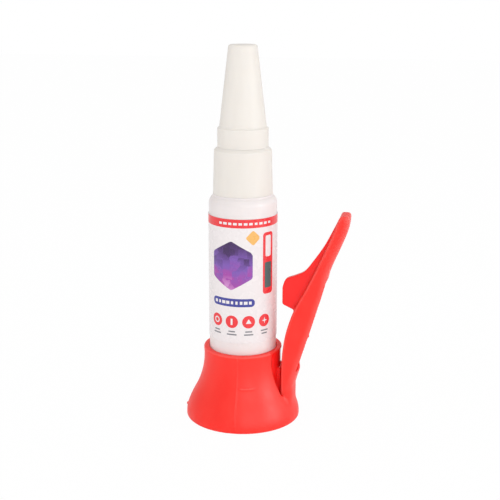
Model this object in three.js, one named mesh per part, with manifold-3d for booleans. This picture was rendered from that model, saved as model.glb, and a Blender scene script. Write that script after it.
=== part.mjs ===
// Glue bottle in a squeeze stand: a blow-moulded bottle with a nozzle and an overcap, held in a
// bell-shaped stand whose sprung lever presses a fin against the bottle's side to push glue out.
// Millimetres, +Z up. The origin is on the bottle's axis at the table, and the lever lies along +X.

import * as THREE from 'three';
import { mergeVertices } from 'three/addons/utils/BufferGeometryUtils.js';
import Module from 'manifold-3d';

const wasm = await Module();
wasm.setup();

// Smoothness of the turned pieces, and of the lever's wide outer face.
const turns = 40;
const leverTurns = 120;

// Clearances.
const seatGap = 0.3;
const slipGap = 0.25;
const filmGap = 0.1;
const pinGap = 0.1;

// Bottle.
const bottleRadius = 13;
const bottleWall = 1;
const bottleHeight = 87;
const shoulderRound = 3.5;
const heelRound = 2;
const pushUp = 1.2;
const standingRadius = 9.5;
const neckRadius = 8.6;
const neckWall = 1.4;
const neckHeight = 14.5;
const glueDepth = 68;

// Wrap-round label with a butt seam on the side away from the lever.
const labelLift = 31;
const labelHeight = 48.5;
const labelThickness = 0.15;
const labelSeam = 1.2;

// Sealing ring under the nozzle.
const sealThickness = 0.8;

// Nozzle: collar, plug for the cap and tapered spout.
const collarRadius = 11.36;
const collarDraft = 0.46;
const collarEdge = 0.6;
const collarChamfer = 1.5;
const collarShelf = 0.75;
const threadRoom = 1;
const deckThickness = 1.9;
const plugRadius = 7.9;
const plugWall = 1.5;
const plugHeight = 6;
const spoutRadius = 4.6;
const spoutWall = 1.3;
const spoutHeight = 25;
const spoutTipRadius = 1.7;
const tipBore = 0.75;
const tipBoreLength = 4;

// Overcap: a ring that pushes over the plug, and a long cone.
const capPlay = 0.3;
const ringRadius = 9.66;
const ringHeight = 6.7;
const ringEdge = 0.7;
const coneRadius = 8.9;
const coneTopRadius = 5.36;
const capHeight = 37.4;
const capEdge = 0.8;
const capWall = 1.3;
const capTopWall = 2.2;
const bossRadius = 2;
const pinRadius = 0.4;
const pinLength = 20;
const pinSeat = 3.6;

// Stand: socket, flared skirt and the slot that the lever rises from.
const floorThickness = 2;
const rimHeight = 28.6;
const socketWall = 1.65;
const lipHeight = 2.6;
const lipProud = 0.4;
const skirtSpread = 7.5;
const skirtWall = 1.8;
const flareStart = 25;
const slopeTop = 16.5;
const slopeBottom = 4.4;
const slopeSplit = 0.55;
const footBlend = 1.2;
const footEdge = 0.4;
const slotHalfWidth = 7.9;
const slotFloor = 10;
const slotRound = 1.5;

// Squeeze lever: a leaning arm with a cored back and a pressing fin.
const hingeHeight = 11.5;
const hingeGap = 0.3;
const rootDrop = 5.5;
const leverClearance = 1.95;
const leverRootDepth = 4.1;
const leverRootHalf = 7.2;
const leverTipHalf = 5.2;
const leverTop = 82.6;
const leverBend = 35.2;
const leverBendBlend = 11;
const leverLean = THREE.MathUtils.degToRad(23.6);
const leverTipRound = 2;
const rootTop = 14;
const bellyHeight = 37;
const bellyDepth = 9.5;
const gripHeight = 62;
const gripDepth = 5.8;
const padHeight = 76;
const padDepth = 5.4;
const tipDepth = 3.4;
const pocketBottom = 20;
const pocketTop = 57;
const pocketRound = 2.5;
const pocketWall = 1.7;
const webThickness = 2.2;
const finThickness = 2.4;
const finGap = 2.45;
const finUpper = 76.6;
const finKnee = 56.9;
const finSweep = 10.5;
const finCorner = 2.6;
const finEdgeBottom = 46;
const finLower = 43.5;

// Heights and radii that follow from the sizes above.
const bottleBase = floorThickness + seatGap;
const shoulderTop = bottleBase + bottleHeight;
const neckTop = shoulderTop + neckHeight;
const deckUnder = neckTop + sealThickness + 2 * seatGap;
const deckTop = deckUnder + deckThickness;
const collarBottom = shoulderTop + seatGap;
const plugTop = deckTop + plugHeight;
const spoutTop = plugTop + spoutHeight;
const capBottom = deckTop + seatGap;
const capTop = capBottom + capHeight;
const socketRadius = bottleRadius + slipGap;
const socketOuter = socketRadius + socketWall;
const footRadius = socketOuter + skirtSpread;
const leverInner = socketOuter + leverClearance;
const leverOuter = leverInner + leverRootDepth;
const labelOuter = bottleRadius + filmGap + labelThickness;
const finEdge = labelOuter + finGap;
const farOut = footRadius + leverTop;

// Closed mesh to solid and back, for the cuts and joins.
function toSolid(geometry) {
  const bare = geometry.clone();
  bare.deleteAttribute('normal');
  bare.deleteAttribute('uv');
  const merged = mergeVertices(bare, 1e-4);
  const vertProperties = new Float32Array(merged.attributes.position.array);
  const triVerts = new Uint32Array(merged.index.array);
  return new wasm.Manifold(new wasm.Mesh({ numProp: 3, vertProperties, triVerts }));
}

function toGeometry(solid) {
  const { vertProperties, triVerts } = solid.getMesh();
  const geometry = new THREE.BufferGeometry();
  geometry.setAttribute('position', new THREE.BufferAttribute(vertProperties, 3));
  geometry.setIndex(new THREE.BufferAttribute(triVerts, 1));
  geometry.computeVertexNormals();
  return geometry;
}

// A profile in radius and height, turned about the Z axis.
function revolve(path, count = turns, smooth = 4) {
  return new THREE.LatheGeometry(path.getPoints(smooth), count).rotateX(Math.PI / 2);
}

// A side view in X and Z, given a width centred on Y.
function sideExtrude(shape, width) {
  const options = { depth: width, bevelEnabled: false, curveSegments: 6 };
  return new THREE.ExtrudeGeometry(shape, options).translate(0, 0, -width / 2).rotateX(Math.PI / 2);
}

// A front view in Y and Z, drawn out along +X from the axis.
function frontExtrude(shape) {
  const options = { depth: farOut, bevelEnabled: false, curveSegments: 6 };
  return new THREE.ExtrudeGeometry(shape, options).rotateX(Math.PI / 2).rotateZ(Math.PI / 2);
}

// A solid rod on the axis.
function rod(radius, bottom, top, count = turns) {
  const path = new THREE.Path();
  path.moveTo(0, bottom);
  path.lineTo(radius, bottom);
  path.lineTo(radius, top);
  path.lineTo(0, top);
  return revolve(path, count);
}

function piece(name, geometry, color, roughness, metalness = 0) {
  const material = new THREE.MeshStandardMaterial({ color, roughness, metalness });
  const mesh = new THREE.Mesh(geometry, material);
  mesh.name = name;
  return mesh;
}

// Bottle: push-up base, straight wall, rounded shoulder and open neck.
function bottleGeometry() {
  const innerRadius = bottleRadius - bottleWall;
  const boreRadius = neckRadius - neckWall;
  const shoulderStart = shoulderTop - shoulderRound;
  const path = new THREE.Path();
  path.moveTo(0, bottleBase + pushUp);
  path.quadraticCurveTo(standingRadius / 2, bottleBase + pushUp, standingRadius, bottleBase);
  path.lineTo(bottleRadius - heelRound, bottleBase);
  path.quadraticCurveTo(bottleRadius, bottleBase, bottleRadius, bottleBase + heelRound);
  path.lineTo(bottleRadius, shoulderStart);
  path.quadraticCurveTo(bottleRadius, shoulderTop, bottleRadius - shoulderRound, shoulderTop);
  path.lineTo(neckRadius, shoulderTop);
  path.lineTo(neckRadius, neckTop);
  path.lineTo(boreRadius, neckTop);
  path.lineTo(boreRadius, shoulderTop - bottleWall);
  path.lineTo(innerRadius - shoulderRound, shoulderTop - bottleWall);
  path.quadraticCurveTo(innerRadius, shoulderTop - bottleWall, innerRadius, shoulderStart - bottleWall);
  path.lineTo(innerRadius, bottleBase + bottleWall + heelRound);
  path.quadraticCurveTo(
    innerRadius, bottleBase + bottleWall,
    innerRadius - heelRound, bottleBase + bottleWall,
  );
  path.lineTo(standingRadius, bottleBase + bottleWall);
  path.quadraticCurveTo(
    standingRadius / 2, bottleBase + pushUp + bottleWall,
    0, bottleBase + pushUp + bottleWall,
  );
  return revolve(path);
}

// Glue standing in the bottle, clear of its wall by the seat gap.
function glueGeometry() {
  const radius = bottleRadius - bottleWall - seatGap;
  const bottom = bottleBase + bottleWall + pushUp + seatGap;
  const path = new THREE.Path();
  path.moveTo(0, bottom);
  path.lineTo(radius - heelRound, bottom);
  path.quadraticCurveTo(radius, bottom, radius, bottom + heelRound);
  path.lineTo(radius, bottom + glueDepth);
  path.lineTo(0, bottom + glueDepth);
  return revolve(path);
}

// Label film, a thin sleeve that stops short of itself at the seam.
function labelGeometry() {
  const inner = bottleRadius + filmGap;
  const halfSeam = Math.asin(labelSeam / 2 / inner);
  const shape = new THREE.Shape();
  shape.absarc(0, 0, labelOuter, -Math.PI + halfSeam, Math.PI - halfSeam, false);
  shape.absarc(0, 0, inner, Math.PI - halfSeam, -Math.PI + halfSeam, true);
  const options = { depth: labelHeight, bevelEnabled: false, curveSegments: turns / 2 };
  return new THREE.ExtrudeGeometry(shape, options).translate(0, 0, bottleBase + labelLift);
}

// Soft ring between the bottle's mouth and the nozzle's deck.
function sealGeometry() {
  const inner = neckRadius - neckWall;
  const bottom = neckTop + seatGap;
  const path = new THREE.Path();
  path.moveTo(inner, bottom);
  path.lineTo(neckRadius, bottom);
  path.lineTo(neckRadius, bottom + sealThickness);
  path.lineTo(inner, bottom + sealThickness);
  path.lineTo(inner, bottom);
  return revolve(path);
}

// Nozzle: screw collar, deck, plug for the cap and the hollow spout, in one moulding.
function nozzleGeometry() {
  const skirtRadius = neckRadius + threadRoom;
  const chamferBottom = deckTop - collarChamfer;
  const chamferRadius = collarRadius - collarDraft;
  const boreTop = plugTop - plugWall;
  const tipBottom = spoutTop - tipBoreLength;
  const path = new THREE.Path();
  path.moveTo(skirtRadius, collarBottom);
  path.lineTo(collarRadius - collarEdge, collarBottom);
  path.quadraticCurveTo(collarRadius, collarBottom, collarRadius, collarBottom + collarEdge);
  path.lineTo(chamferRadius, chamferBottom);
  path.lineTo(chamferRadius - collarShelf, deckTop);
  path.lineTo(plugRadius, deckTop);
  path.lineTo(plugRadius, plugTop);
  path.lineTo(spoutRadius, plugTop);
  path.lineTo(spoutTipRadius, spoutTop);
  path.lineTo(tipBore, spoutTop);
  path.lineTo(tipBore, tipBottom);
  path.lineTo(spoutRadius - spoutWall, boreTop);
  path.lineTo(plugRadius - plugWall, boreTop);
  path.lineTo(plugRadius - plugWall, deckUnder);
  path.lineTo(skirtRadius, deckUnder);
  path.lineTo(skirtRadius, collarBottom);
  return revolve(path);
}

// Overcap: ring, long cone, and inside its top the boss that holds the pin and seals the spout.
function capGeometry() {
  const ringTop = capBottom + ringHeight;
  const ringInner = plugRadius + capPlay;
  const ringUnder = plugTop + seatGap;
  const topUnder = capTop - capTopWall;
  const bossBottom = spoutTop + seatGap;
  const pinTop = bossBottom + pinSeat + pinGap;
  const path = new THREE.Path();
  path.moveTo(ringInner, capBottom);
  path.lineTo(ringRadius, capBottom);
  path.lineTo(ringRadius, ringTop - ringEdge);
  path.quadraticCurveTo(ringRadius, ringTop, ringRadius - ringEdge, ringTop);
  path.lineTo(coneRadius, ringTop + ringEdge);
  path.lineTo(coneTopRadius, capTop - capEdge);
  path.quadraticCurveTo(coneTopRadius, capTop, coneTopRadius - capEdge, capTop);
  path.lineTo(0, capTop);
  path.lineTo(0, pinTop);
  path.lineTo(pinRadius + pinGap, pinTop);
  path.lineTo(pinRadius + pinGap, bossBottom);
  path.lineTo(bossRadius, bossBottom);
  path.lineTo(bossRadius, topUnder);
  path.lineTo(coneTopRadius - capWall, topUnder);
  path.lineTo(coneRadius - capWall, ringUnder);
  path.lineTo(ringInner, ringUnder);
  path.lineTo(ringInner, capBottom);
  return revolve(path);
}

// Steel pin that hangs from the cap's boss and keeps the spout's tip clear.
function pinGeometry() {
  const top = spoutTop + seatGap + pinSeat;
  return rod(pinRadius, top - pinLength, top, 12);
}

// The bell's flank from foot to neck: two curves that share a straight slope.
function flank(path, inset) {
  const neck = socketOuter - inset;
  const foot = footRadius - inset;
  const splitRadius = THREE.MathUtils.lerp(neck, foot, slopeSplit);
  const splitHeight = THREE.MathUtils.lerp(slopeTop, slopeBottom, slopeSplit);
  path.lineTo(foot, footBlend);
  path.quadraticCurveTo(foot, slopeBottom, splitRadius, splitHeight);
  path.quadraticCurveTo(neck, slopeTop, neck, flareStart);
}

// Solid of the bell with its rolled rim.
function bellSolid() {
  const lipRadius = socketOuter + lipProud;
  const lipBottom = rimHeight - lipHeight;
  const path = new THREE.Path();
  path.moveTo(0, 0);
  path.lineTo(footRadius - footEdge, 0);
  path.lineTo(footRadius, footEdge);
  flank(path, 0);
  path.lineTo(socketOuter, lipBottom);
  path.lineTo(lipRadius, lipBottom + lipProud);
  path.lineTo(lipRadius, rimHeight - lipProud);
  path.lineTo(socketOuter, rimHeight);
  path.lineTo(0, rimHeight);
  return toSolid(revolve(path, turns, 6));
}

// Cored ring under the skirt, open below, round the socket.
function skirtCore() {
  const path = new THREE.Path();
  path.moveTo(0, -seatGap);
  path.lineTo(footRadius - skirtWall, -seatGap);
  flank(path, skirtWall);
  path.lineTo(0, flareStart);
  const core = toSolid(revolve(path, turns, 6));
  return core.subtract(toSolid(rod(socketOuter, -2 * seatGap, rimHeight)));
}

// Opening in the flank that leaves the socket's wall standing behind the lever.
function leverSlot() {
  const top = rimHeight - lipHeight;
  const shape = new THREE.Shape();
  shape.moveTo(-slotHalfWidth, top);
  shape.lineTo(-slotHalfWidth, slotFloor + slotRound);
  shape.quadraticCurveTo(-slotHalfWidth, slotFloor, -slotHalfWidth + slotRound, slotFloor);
  shape.lineTo(slotHalfWidth - slotRound, slotFloor);
  shape.quadraticCurveTo(slotHalfWidth, slotFloor, slotHalfWidth, slotFloor + slotRound);
  shape.lineTo(slotHalfWidth, top);
  return toSolid(frontExtrude(shape)).subtract(toSolid(rod(socketOuter, 0, rimHeight)));
}

// Front view of the lever: a tapering strip with a rounded tip.
function leverFront(bottom, inset, top, round) {
  const halfAt = (height) => {
    const share = (height - hingeHeight) / (leverTop - hingeHeight);
    return THREE.MathUtils.lerp(leverRootHalf, leverTipHalf, share) - inset;
  };
  const shape = new THREE.Shape();
  shape.moveTo(-halfAt(bottom), bottom);
  shape.lineTo(halfAt(bottom), bottom);
  shape.lineTo(halfAt(top - round), top - round);
  shape.quadraticCurveTo(halfAt(top), top, halfAt(top) - round, top);
  shape.lineTo(round - halfAt(top), top);
  shape.quadraticCurveTo(-halfAt(top), top, -halfAt(top - round), top - round);
  return toSolid(frontExtrude(shape));
}

// Radius of the lever's inner face, before its bend is rounded.
function innerFaceAt(height) {
  return leverInner + Math.max(0, height - leverBend) * Math.tan(leverLean);
}

// Side view of all that lies outside the lever's inner face, moved out by a wall.
function outsideInnerFace(wall) {
  const bendStart = leverBend - leverBendBlend;
  const bendEnd = leverBend + leverBendBlend;
  const shape = new THREE.Shape();
  shape.moveTo(farOut, 0);
  shape.lineTo(farOut, leverTop);
  shape.lineTo(innerFaceAt(leverTop) + wall, leverTop);
  shape.lineTo(innerFaceAt(bendEnd) + wall, bendEnd);
  shape.quadraticCurveTo(leverInner + wall, leverBend, leverInner + wall, bendStart);
  shape.lineTo(leverInner + wall, 0);
  return toSolid(sideExtrude(shape, 4 * leverRootHalf));
}

// Turned envelope of the lever's outer face, coaxial with the bottle.
function leverEnvelope() {
  const back = [
    new THREE.Vector2(innerFaceAt(bellyHeight) + bellyDepth, bellyHeight),
    new THREE.Vector2(innerFaceAt(gripHeight) + gripDepth, gripHeight),
    new THREE.Vector2(innerFaceAt(padHeight) + padDepth, padHeight),
    new THREE.Vector2(innerFaceAt(leverTop) + tipDepth, leverTop),
  ];
  const path = new THREE.Path();
  path.moveTo(0, 0);
  path.lineTo(leverOuter, 0);
  path.lineTo(leverOuter, rootTop);
  path.splineThru(back);
  path.lineTo(0, leverTop);
  return toSolid(revolve(path, leverTurns, 4));
}

// Pressing fin: its front edge stands clear of the label by the fin gap.
function finSolid() {
  const upper = innerFaceAt(finUpper);
  const arm = innerFaceAt(finLower) + webThickness;
  const shape = new THREE.Shape();
  shape.moveTo(upper + webThickness / 2, finUpper);
  shape.lineTo(upper, finUpper);
  shape.quadraticCurveTo(upper - finSweep, finKnee, finEdge + finCorner, finKnee);
  shape.quadraticCurveTo(finEdge, finKnee, finEdge, finKnee - finCorner);
  shape.lineTo(finEdge, finEdgeBottom + finCorner);
  shape.quadraticCurveTo(finEdge, finEdgeBottom, finEdge + finCorner, finEdgeBottom - finCorner / 4);
  shape.lineTo(arm, finLower);
  shape.lineTo(innerFaceAt(finKnee) + webThickness / 2, finKnee);
  return toSolid(sideExtrude(shape, finThickness));
}

// Lever without its pocket and fin, from the foot of its stump to its tip.
function leverBlank() {
  const strip = leverFront(slotFloor - rootDrop, 0, leverTop, leverTipRound);
  return outsideInnerFace(0).intersect(leverEnvelope()).intersect(strip);
}

// Level slice of space that parts the stump from the lever at the flexing line.
function slice(bottom, top) {
  const shape = new THREE.Shape();
  shape.moveTo(0, bottom);
  shape.lineTo(farOut, bottom);
  shape.lineTo(farOut, top);
  shape.lineTo(0, top);
  return toSolid(sideExtrude(shape, 4 * leverRootHalf));
}

// Stand: bell, socket, cored skirt, lever slot and stump.
function standGeometry() {
  const socket = toSolid(rod(socketRadius, floorThickness, rimHeight + seatGap));
  const bell = bellSolid().subtract(socket).subtract(skirtCore()).subtract(leverSlot());
  const stump = leverBlank().intersect(slice(0, hingeHeight - hingeGap / 2));
  return toGeometry(bell.add(stump));
}

// Squeeze lever above the flexing line: arm, cored pocket in its back, and fin.
function leverGeometry() {
  const arm = leverBlank().intersect(slice(hingeHeight + hingeGap / 2, 2 * leverTop));
  const opening = leverFront(pocketBottom, pocketWall, pocketTop, pocketRound);
  const pocket = outsideInnerFace(webThickness).intersect(opening);
  return toGeometry(arm.subtract(pocket).add(finSolid()));
}

const stand = new THREE.Group();
stand.add(piece('base_stand', standGeometry(), 0xd3161c, 0.4));
stand.add(piece('squeeze_lever', leverGeometry(), 0xd3161c, 0.4));

const bottle = new THREE.Group();
bottle.add(piece('bottle', bottleGeometry(), 0xf2f2ee, 0.45));
bottle.add(piece('label', labelGeometry(), 0xf6f6f6, 0.25));
bottle.add(piece('glue_fill', glueGeometry(), 0xe8eef0, 0.1));

const dispenser = new THREE.Group();
dispenser.add(piece('neck_seal', sealGeometry(), 0xe9e9e4, 0.8));
dispenser.add(piece('nozzle', nozzleGeometry(), 0xe6e4da, 0.4));
dispenser.add(piece('cap', capGeometry(), 0xe6e4da, 0.4));
dispenser.add(piece('clog_pin', pinGeometry(), 0xb9bcc0, 0.3, 1));

const group = new THREE.Group();
group.add(stand, bottle, dispenser);

export default group;
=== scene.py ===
"""Glue bottle in a red squeeze stand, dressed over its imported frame.

Sizes are in millimetres until a mesh is made. The lever lies along +X and the bottle stands on +Z.
"""

import logging
import math
from dataclasses import dataclass, field
from enum import Enum
from typing import Callable, Iterable, Sequence

import bmesh
import bpy
import numpy as np
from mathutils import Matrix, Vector
from mathutils.geometry import delaunay_2d_cdt


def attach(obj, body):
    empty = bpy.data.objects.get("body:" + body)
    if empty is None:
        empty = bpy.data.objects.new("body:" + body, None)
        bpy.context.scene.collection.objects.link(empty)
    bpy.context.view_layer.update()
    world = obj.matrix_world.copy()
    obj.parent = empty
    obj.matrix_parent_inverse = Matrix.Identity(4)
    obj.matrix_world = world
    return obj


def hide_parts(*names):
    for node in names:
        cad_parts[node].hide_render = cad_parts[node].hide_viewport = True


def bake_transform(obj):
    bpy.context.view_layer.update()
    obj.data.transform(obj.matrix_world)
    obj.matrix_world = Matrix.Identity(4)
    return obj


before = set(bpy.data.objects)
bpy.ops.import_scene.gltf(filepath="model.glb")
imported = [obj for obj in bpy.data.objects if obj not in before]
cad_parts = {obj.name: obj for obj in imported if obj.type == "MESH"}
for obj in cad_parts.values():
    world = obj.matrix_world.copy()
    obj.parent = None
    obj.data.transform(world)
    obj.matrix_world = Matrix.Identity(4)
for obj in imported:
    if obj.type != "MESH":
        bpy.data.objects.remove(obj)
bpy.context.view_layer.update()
MM = 0.001
SHARP_ANGLE = math.radians(38.0)  # edges that fold by more stay sharp
NOISE_RANGE = (0.3, 0.7)  # holds nearly all values of a noise texture
THREAD_PITCH = 2.5  # rise of the nozzle in one turn
log = logging.getLogger("glue_bottle")


class Body(Enum):
    """Bodies of the frame that pieces ride on."""

    STAND = "stand"
    LEVER = "lever"
    BOTTLE = "bottle"
    SEAL = "seal"
    NOZZLE = "nozzle"
    CAP = "cap"


# Outlines and meshes


def rounded(corners: Sequence[tuple[float, float, float]], steps: int = 6) -> np.ndarray:
    """Draws an open outline whose corners are softened.

    Args:
        corners: Points as (across, up, fillet radius); the two ends keep their place.
        steps: Points on each fillet.

    Returns:
        Points of the outline, one row each.
    """
    side_share, straight = 0.49, math.pi / 2 - 1e-3
    points = [np.array(corners[0][:2], float)]
    for before, corner, after in zip(corners, corners[1:], corners[2:]):
        here = np.array(corner[:2], float)
        back, ahead = np.array(before[:2]) - here, np.array(after[:2]) - here
        room = side_share * min(np.linalg.norm(back), np.linalg.norm(ahead))
        back, ahead = back / np.linalg.norm(back), ahead / np.linalg.norm(ahead)
        half = math.acos(np.clip(back @ ahead, -1, 1)) / 2
        if corner[2] <= 0 or half > straight:
            points.append(here)
            continue
        run = min(corner[2] / math.tan(half), room)
        centre = here + (back + ahead) / np.linalg.norm(back + ahead) * run / math.cos(half)
        start, end = here + back * run - centre, here + ahead * run - centre
        sweep = math.pi - 2 * half
        for share in np.linspace(0, 1, steps):
            weights = np.sin([(1 - share) * sweep, share * sweep]) / math.sin(sweep)
            points.append(centre + weights[0] * start + weights[1] * end)
    points.append(np.array(corners[-1][:2], float))
    return np.array(points)


def bend(start: Sequence[float], pull: Sequence[float], end: Sequence[float], steps: int = 16) -> np.ndarray:
    """Draws a quadratic curve.

    Args:
        start: First point.
        pull: Point that both end tangents pass through.
        end: Last point.
        steps: Number of points.

    Returns:
        Points of the curve, one row each.
    """
    t = np.linspace(0, 1, steps)[:, None]
    return (1 - t) ** 2 * np.array(start) + 2 * t * (1 - t) * np.array(pull) + t**2 * np.array(end)


def flowing(points: np.ndarray, steps: int = 10) -> np.ndarray:
    """Draws a smooth curve through points.

    Args:
        points: Points to pass through, one row each.
        steps: Points on each span.

    Returns:
        Points of the curve, one row each.
    """
    padded = np.vstack([points[:1], points, points[-1:]])
    t = np.linspace(0, 1, steps, endpoint=False)[:, None]
    spans = []
    for a, b, c, d in zip(padded, padded[1:], padded[2:], padded[3:]):
        leave, arrive = (c - a) / 2, (d - b) / 2
        cubic = (2 * b - 2 * c + leave + arrive) * t**3 + (3 * c - 3 * b - 2 * leave - arrive) * t**2
        spans.append(cubic + leave * t + b)
    return np.vstack(spans + [points[-1:]])


def inside(outline: np.ndarray, across: np.ndarray, up: np.ndarray) -> np.ndarray:
    """Tells which points lie in a closed outline.

    Args:
        outline: Points of the outline, one row each.
        across: First coordinates of the points.
        up: Second coordinates of the points.

    Returns:
        True for each point inside.
    """
    found = np.zeros(np.broadcast(across, up).shape, bool)
    for (a0, u0), (a1, u1) in zip(outline, np.roll(outline, -1, axis=0)):
        if u0 == u1:
            continue
        crosses = (u0 > up) != (u1 > up)
        found ^= crosses & (across < a0 + (up - u0) / (u1 - u0) * (a1 - a0))
    return found


def mesh_piece(name: str, verts: np.ndarray, faces: Iterable[Sequence[int]]) -> bpy.types.Object:
    """Makes a smooth mesh object in the frame's place.

    Args:
        name: Name of the piece.
        verts: Places in millimetres, one row each.
        faces: Corner numbers of each face, counter-clockwise from outside.

    Returns:
        The new object.
    """
    mesh = bpy.data.meshes.new(name)
    mesh.from_pydata((np.asarray(verts, float) * MM).tolist(), [], [list(f) for f in faces])
    mesh.polygons.foreach_set("use_smooth", np.ones(len(mesh.polygons), bool))
    mesh.update()
    piece = bpy.data.objects.new(name, mesh)
    bpy.context.scene.collection.objects.link(piece)
    return piece


def turned(name: str, profile: np.ndarray, segments: int = 160) -> bpy.types.Object:
    """Turns a profile about the bottle's axis.

    Args:
        name: Name of the piece.
        profile: Radius and height, with the solid on the left hand; a closed ring repeats its first point.
        segments: Facets round the axis.

    Returns:
        The turned piece, with its poles closed.
    """
    angles = np.linspace(0, 2 * math.pi, segments, endpoint=False)
    ring = np.stack([np.cos(angles), np.sin(angles)], 1)
    closed = bool(np.allclose(profile[0], profile[-1]))
    rows = profile[:-1] if closed else profile
    verts: list[np.ndarray] = []
    index: list[np.ndarray] = []
    count = 0
    for radius, height in rows:
        spots = ring * radius if radius > 1e-6 else np.zeros((1, 2))
        verts.append(np.column_stack([spots, np.full(len(spots), height)]))
        index.append(np.arange(count, count + len(spots)) if len(spots) > 1 else np.full(segments, count))
        count += len(spots)
    faces = []
    for low, high in zip(index, index[1:] + (index[:1] if closed else [])):
        corners = np.stack([low, np.roll(low, -1), np.roll(high, -1), high], 1)
        faces += [list(dict.fromkeys(face)) for face in corners.tolist()]
    piece = mesh_piece(name, np.vstack(verts), [face for face in faces if len(face) > 2])
    piece.data.set_sharp_from_angle(angle=SHARP_ANGLE)
    return piece


# Finishes


COLOR_A, COLOR_B, COLOR_RESULT = 6, 7, 2  # sockets of a Mix node that carry colours


def map_range(
    tree: bpy.types.NodeTree, value: bpy.types.NodeSocket, given: Sequence[float], wanted: Sequence[float]
) -> bpy.types.NodeSocket:
    """Adds a node that carries one range of numbers over to another.

    Args:
        tree: Node tree to work in.
        value: Number to carry over.
        given: Ends of its range.
        wanted: What the ends become.

    Returns:
        The new number.
    """
    made = tree.nodes.new("ShaderNodeMapRange")
    for key, end in zip(("From Min", "From Max", "To Min", "To Max"), (*given, *wanted)):
        made.inputs[key].default_value = end
    tree.links.new(value, made.inputs["Value"])
    return made.outputs["Result"]


@dataclass
class Shading:
    """A material under construction, with its main shader."""

    name: str
    material: bpy.types.Material = field(init=False)
    shader: bpy.types.ShaderNode = field(init=False)
    place: bpy.types.ShaderNode = field(init=False)

    def __post_init__(self) -> None:
        """Makes the bare material."""
        self.material = bpy.data.materials.new(self.name)
        self.material.use_nodes = True
        self.shader = self.material.node_tree.nodes["Principled BSDF"]
        self.place = self.node("ShaderNodeTexCoord")

    def node(self, kind: str, **settings: object) -> bpy.types.ShaderNode:
        """Adds a node.

        Args:
            kind: Blender's name for the node type.
            settings: Properties of the node; a name with a leading capital sets the input of that name.

        Returns:
            The new node.
        """
        made = self.material.node_tree.nodes.new(kind)
        for key, value in settings.items():
            if key[0].isupper():
                made.inputs[key.replace("_", " ")].default_value = value
            else:
                setattr(made, key, value)
        return made

    def link(self, source: bpy.types.NodeSocket, target: bpy.types.NodeSocket) -> None:
        """Joins an output to an input."""
        self.material.node_tree.links.new(source, target)

    def noise(self, size: float, detail: float = 2.0, stretch: float = 1.0) -> bpy.types.NodeSocket:
        """Adds noise in the piece's own space.

        Args:
            size: Size of a blotch in millimetres.
            detail: Octaves of finer noise.
            stretch: How many times longer a blotch is along the axis.

        Returns:
            The noise value.
        """
        made = self.node("ShaderNodeTexNoise", Scale=1 / (size * MM), Detail=detail)
        spread = self.node("ShaderNodeMapping", Scale=(1, 1, 1 / stretch))
        self.link(self.place.outputs["Object"], spread.inputs["Vector"])
        self.link(spread.outputs["Vector"], made.inputs["Vector"])
        return made.outputs["Fac"]

    def tint(
        self, mask: bpy.types.NodeSocket, low: Sequence[float], high: Sequence[float]
    ) -> bpy.types.NodeSocket:
        """Runs a mask between two colours.

        Args:
            mask: Value whose middle range is used.
            low: Colour at the low end.
            high: Colour at the high end.

        Returns:
            The colour.
        """
        ramp = self.node("ShaderNodeValToRGB")
        for number, (position, color) in enumerate(zip(NOISE_RANGE, (low, high))):
            ramp.color_ramp.elements[number].position = position
            ramp.color_ramp.elements[number].color = (*color, 1)
        self.link(mask, ramp.inputs["Fac"])
        return ramp.outputs["Color"]

    def spread(self, mask: bpy.types.NodeSocket, low: float, high: float) -> bpy.types.NodeSocket:
        """Runs a mask between two numbers.

        Args:
            mask: Value whose middle range is used.
            low: Number at the low end.
            high: Number at the high end.

        Returns:
            The number.
        """
        return map_range(self.material.node_tree, mask, NOISE_RANGE, (low, high))

    def over(self, under: bpy.types.NodeSocket, name: str, color: Sequence[float]) -> bpy.types.NodeSocket:
        """Lays a colour over another where the piece's own attribute says so.

        Args:
            under: Colour below.
            name: Attribute with the share of the upper colour.
            color: Colour above.

        Returns:
            The mixed colour.
        """
        share = self.node("ShaderNodeAttribute", attribute_name=name)
        mix = self.node("ShaderNodeMix", data_type="RGBA")
        mix.inputs[COLOR_B].default_value = (*color, 1)
        self.link(share.outputs["Fac"], mix.inputs["Factor"])
        self.link(under, mix.inputs[COLOR_A])
        return mix.outputs[COLOR_RESULT]

    def bump(
        self, height: bpy.types.NodeSocket, depth: float, under: bpy.types.NodeSocket | None = None
    ) -> bpy.types.NodeSocket:
        """Adds relief.

        Args:
            height: Value that raises the surface.
            depth: Height of the relief in millimetres.
            under: Relief below this one.

        Returns:
            The bent normal.
        """
        made = self.node("ShaderNodeBump", Strength=1.0, Distance=depth * MM)
        self.link(height, made.inputs["Height"])
        if under is not None:
            self.link(under, made.inputs["Normal"])
        return made.outputs["Normal"]


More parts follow.
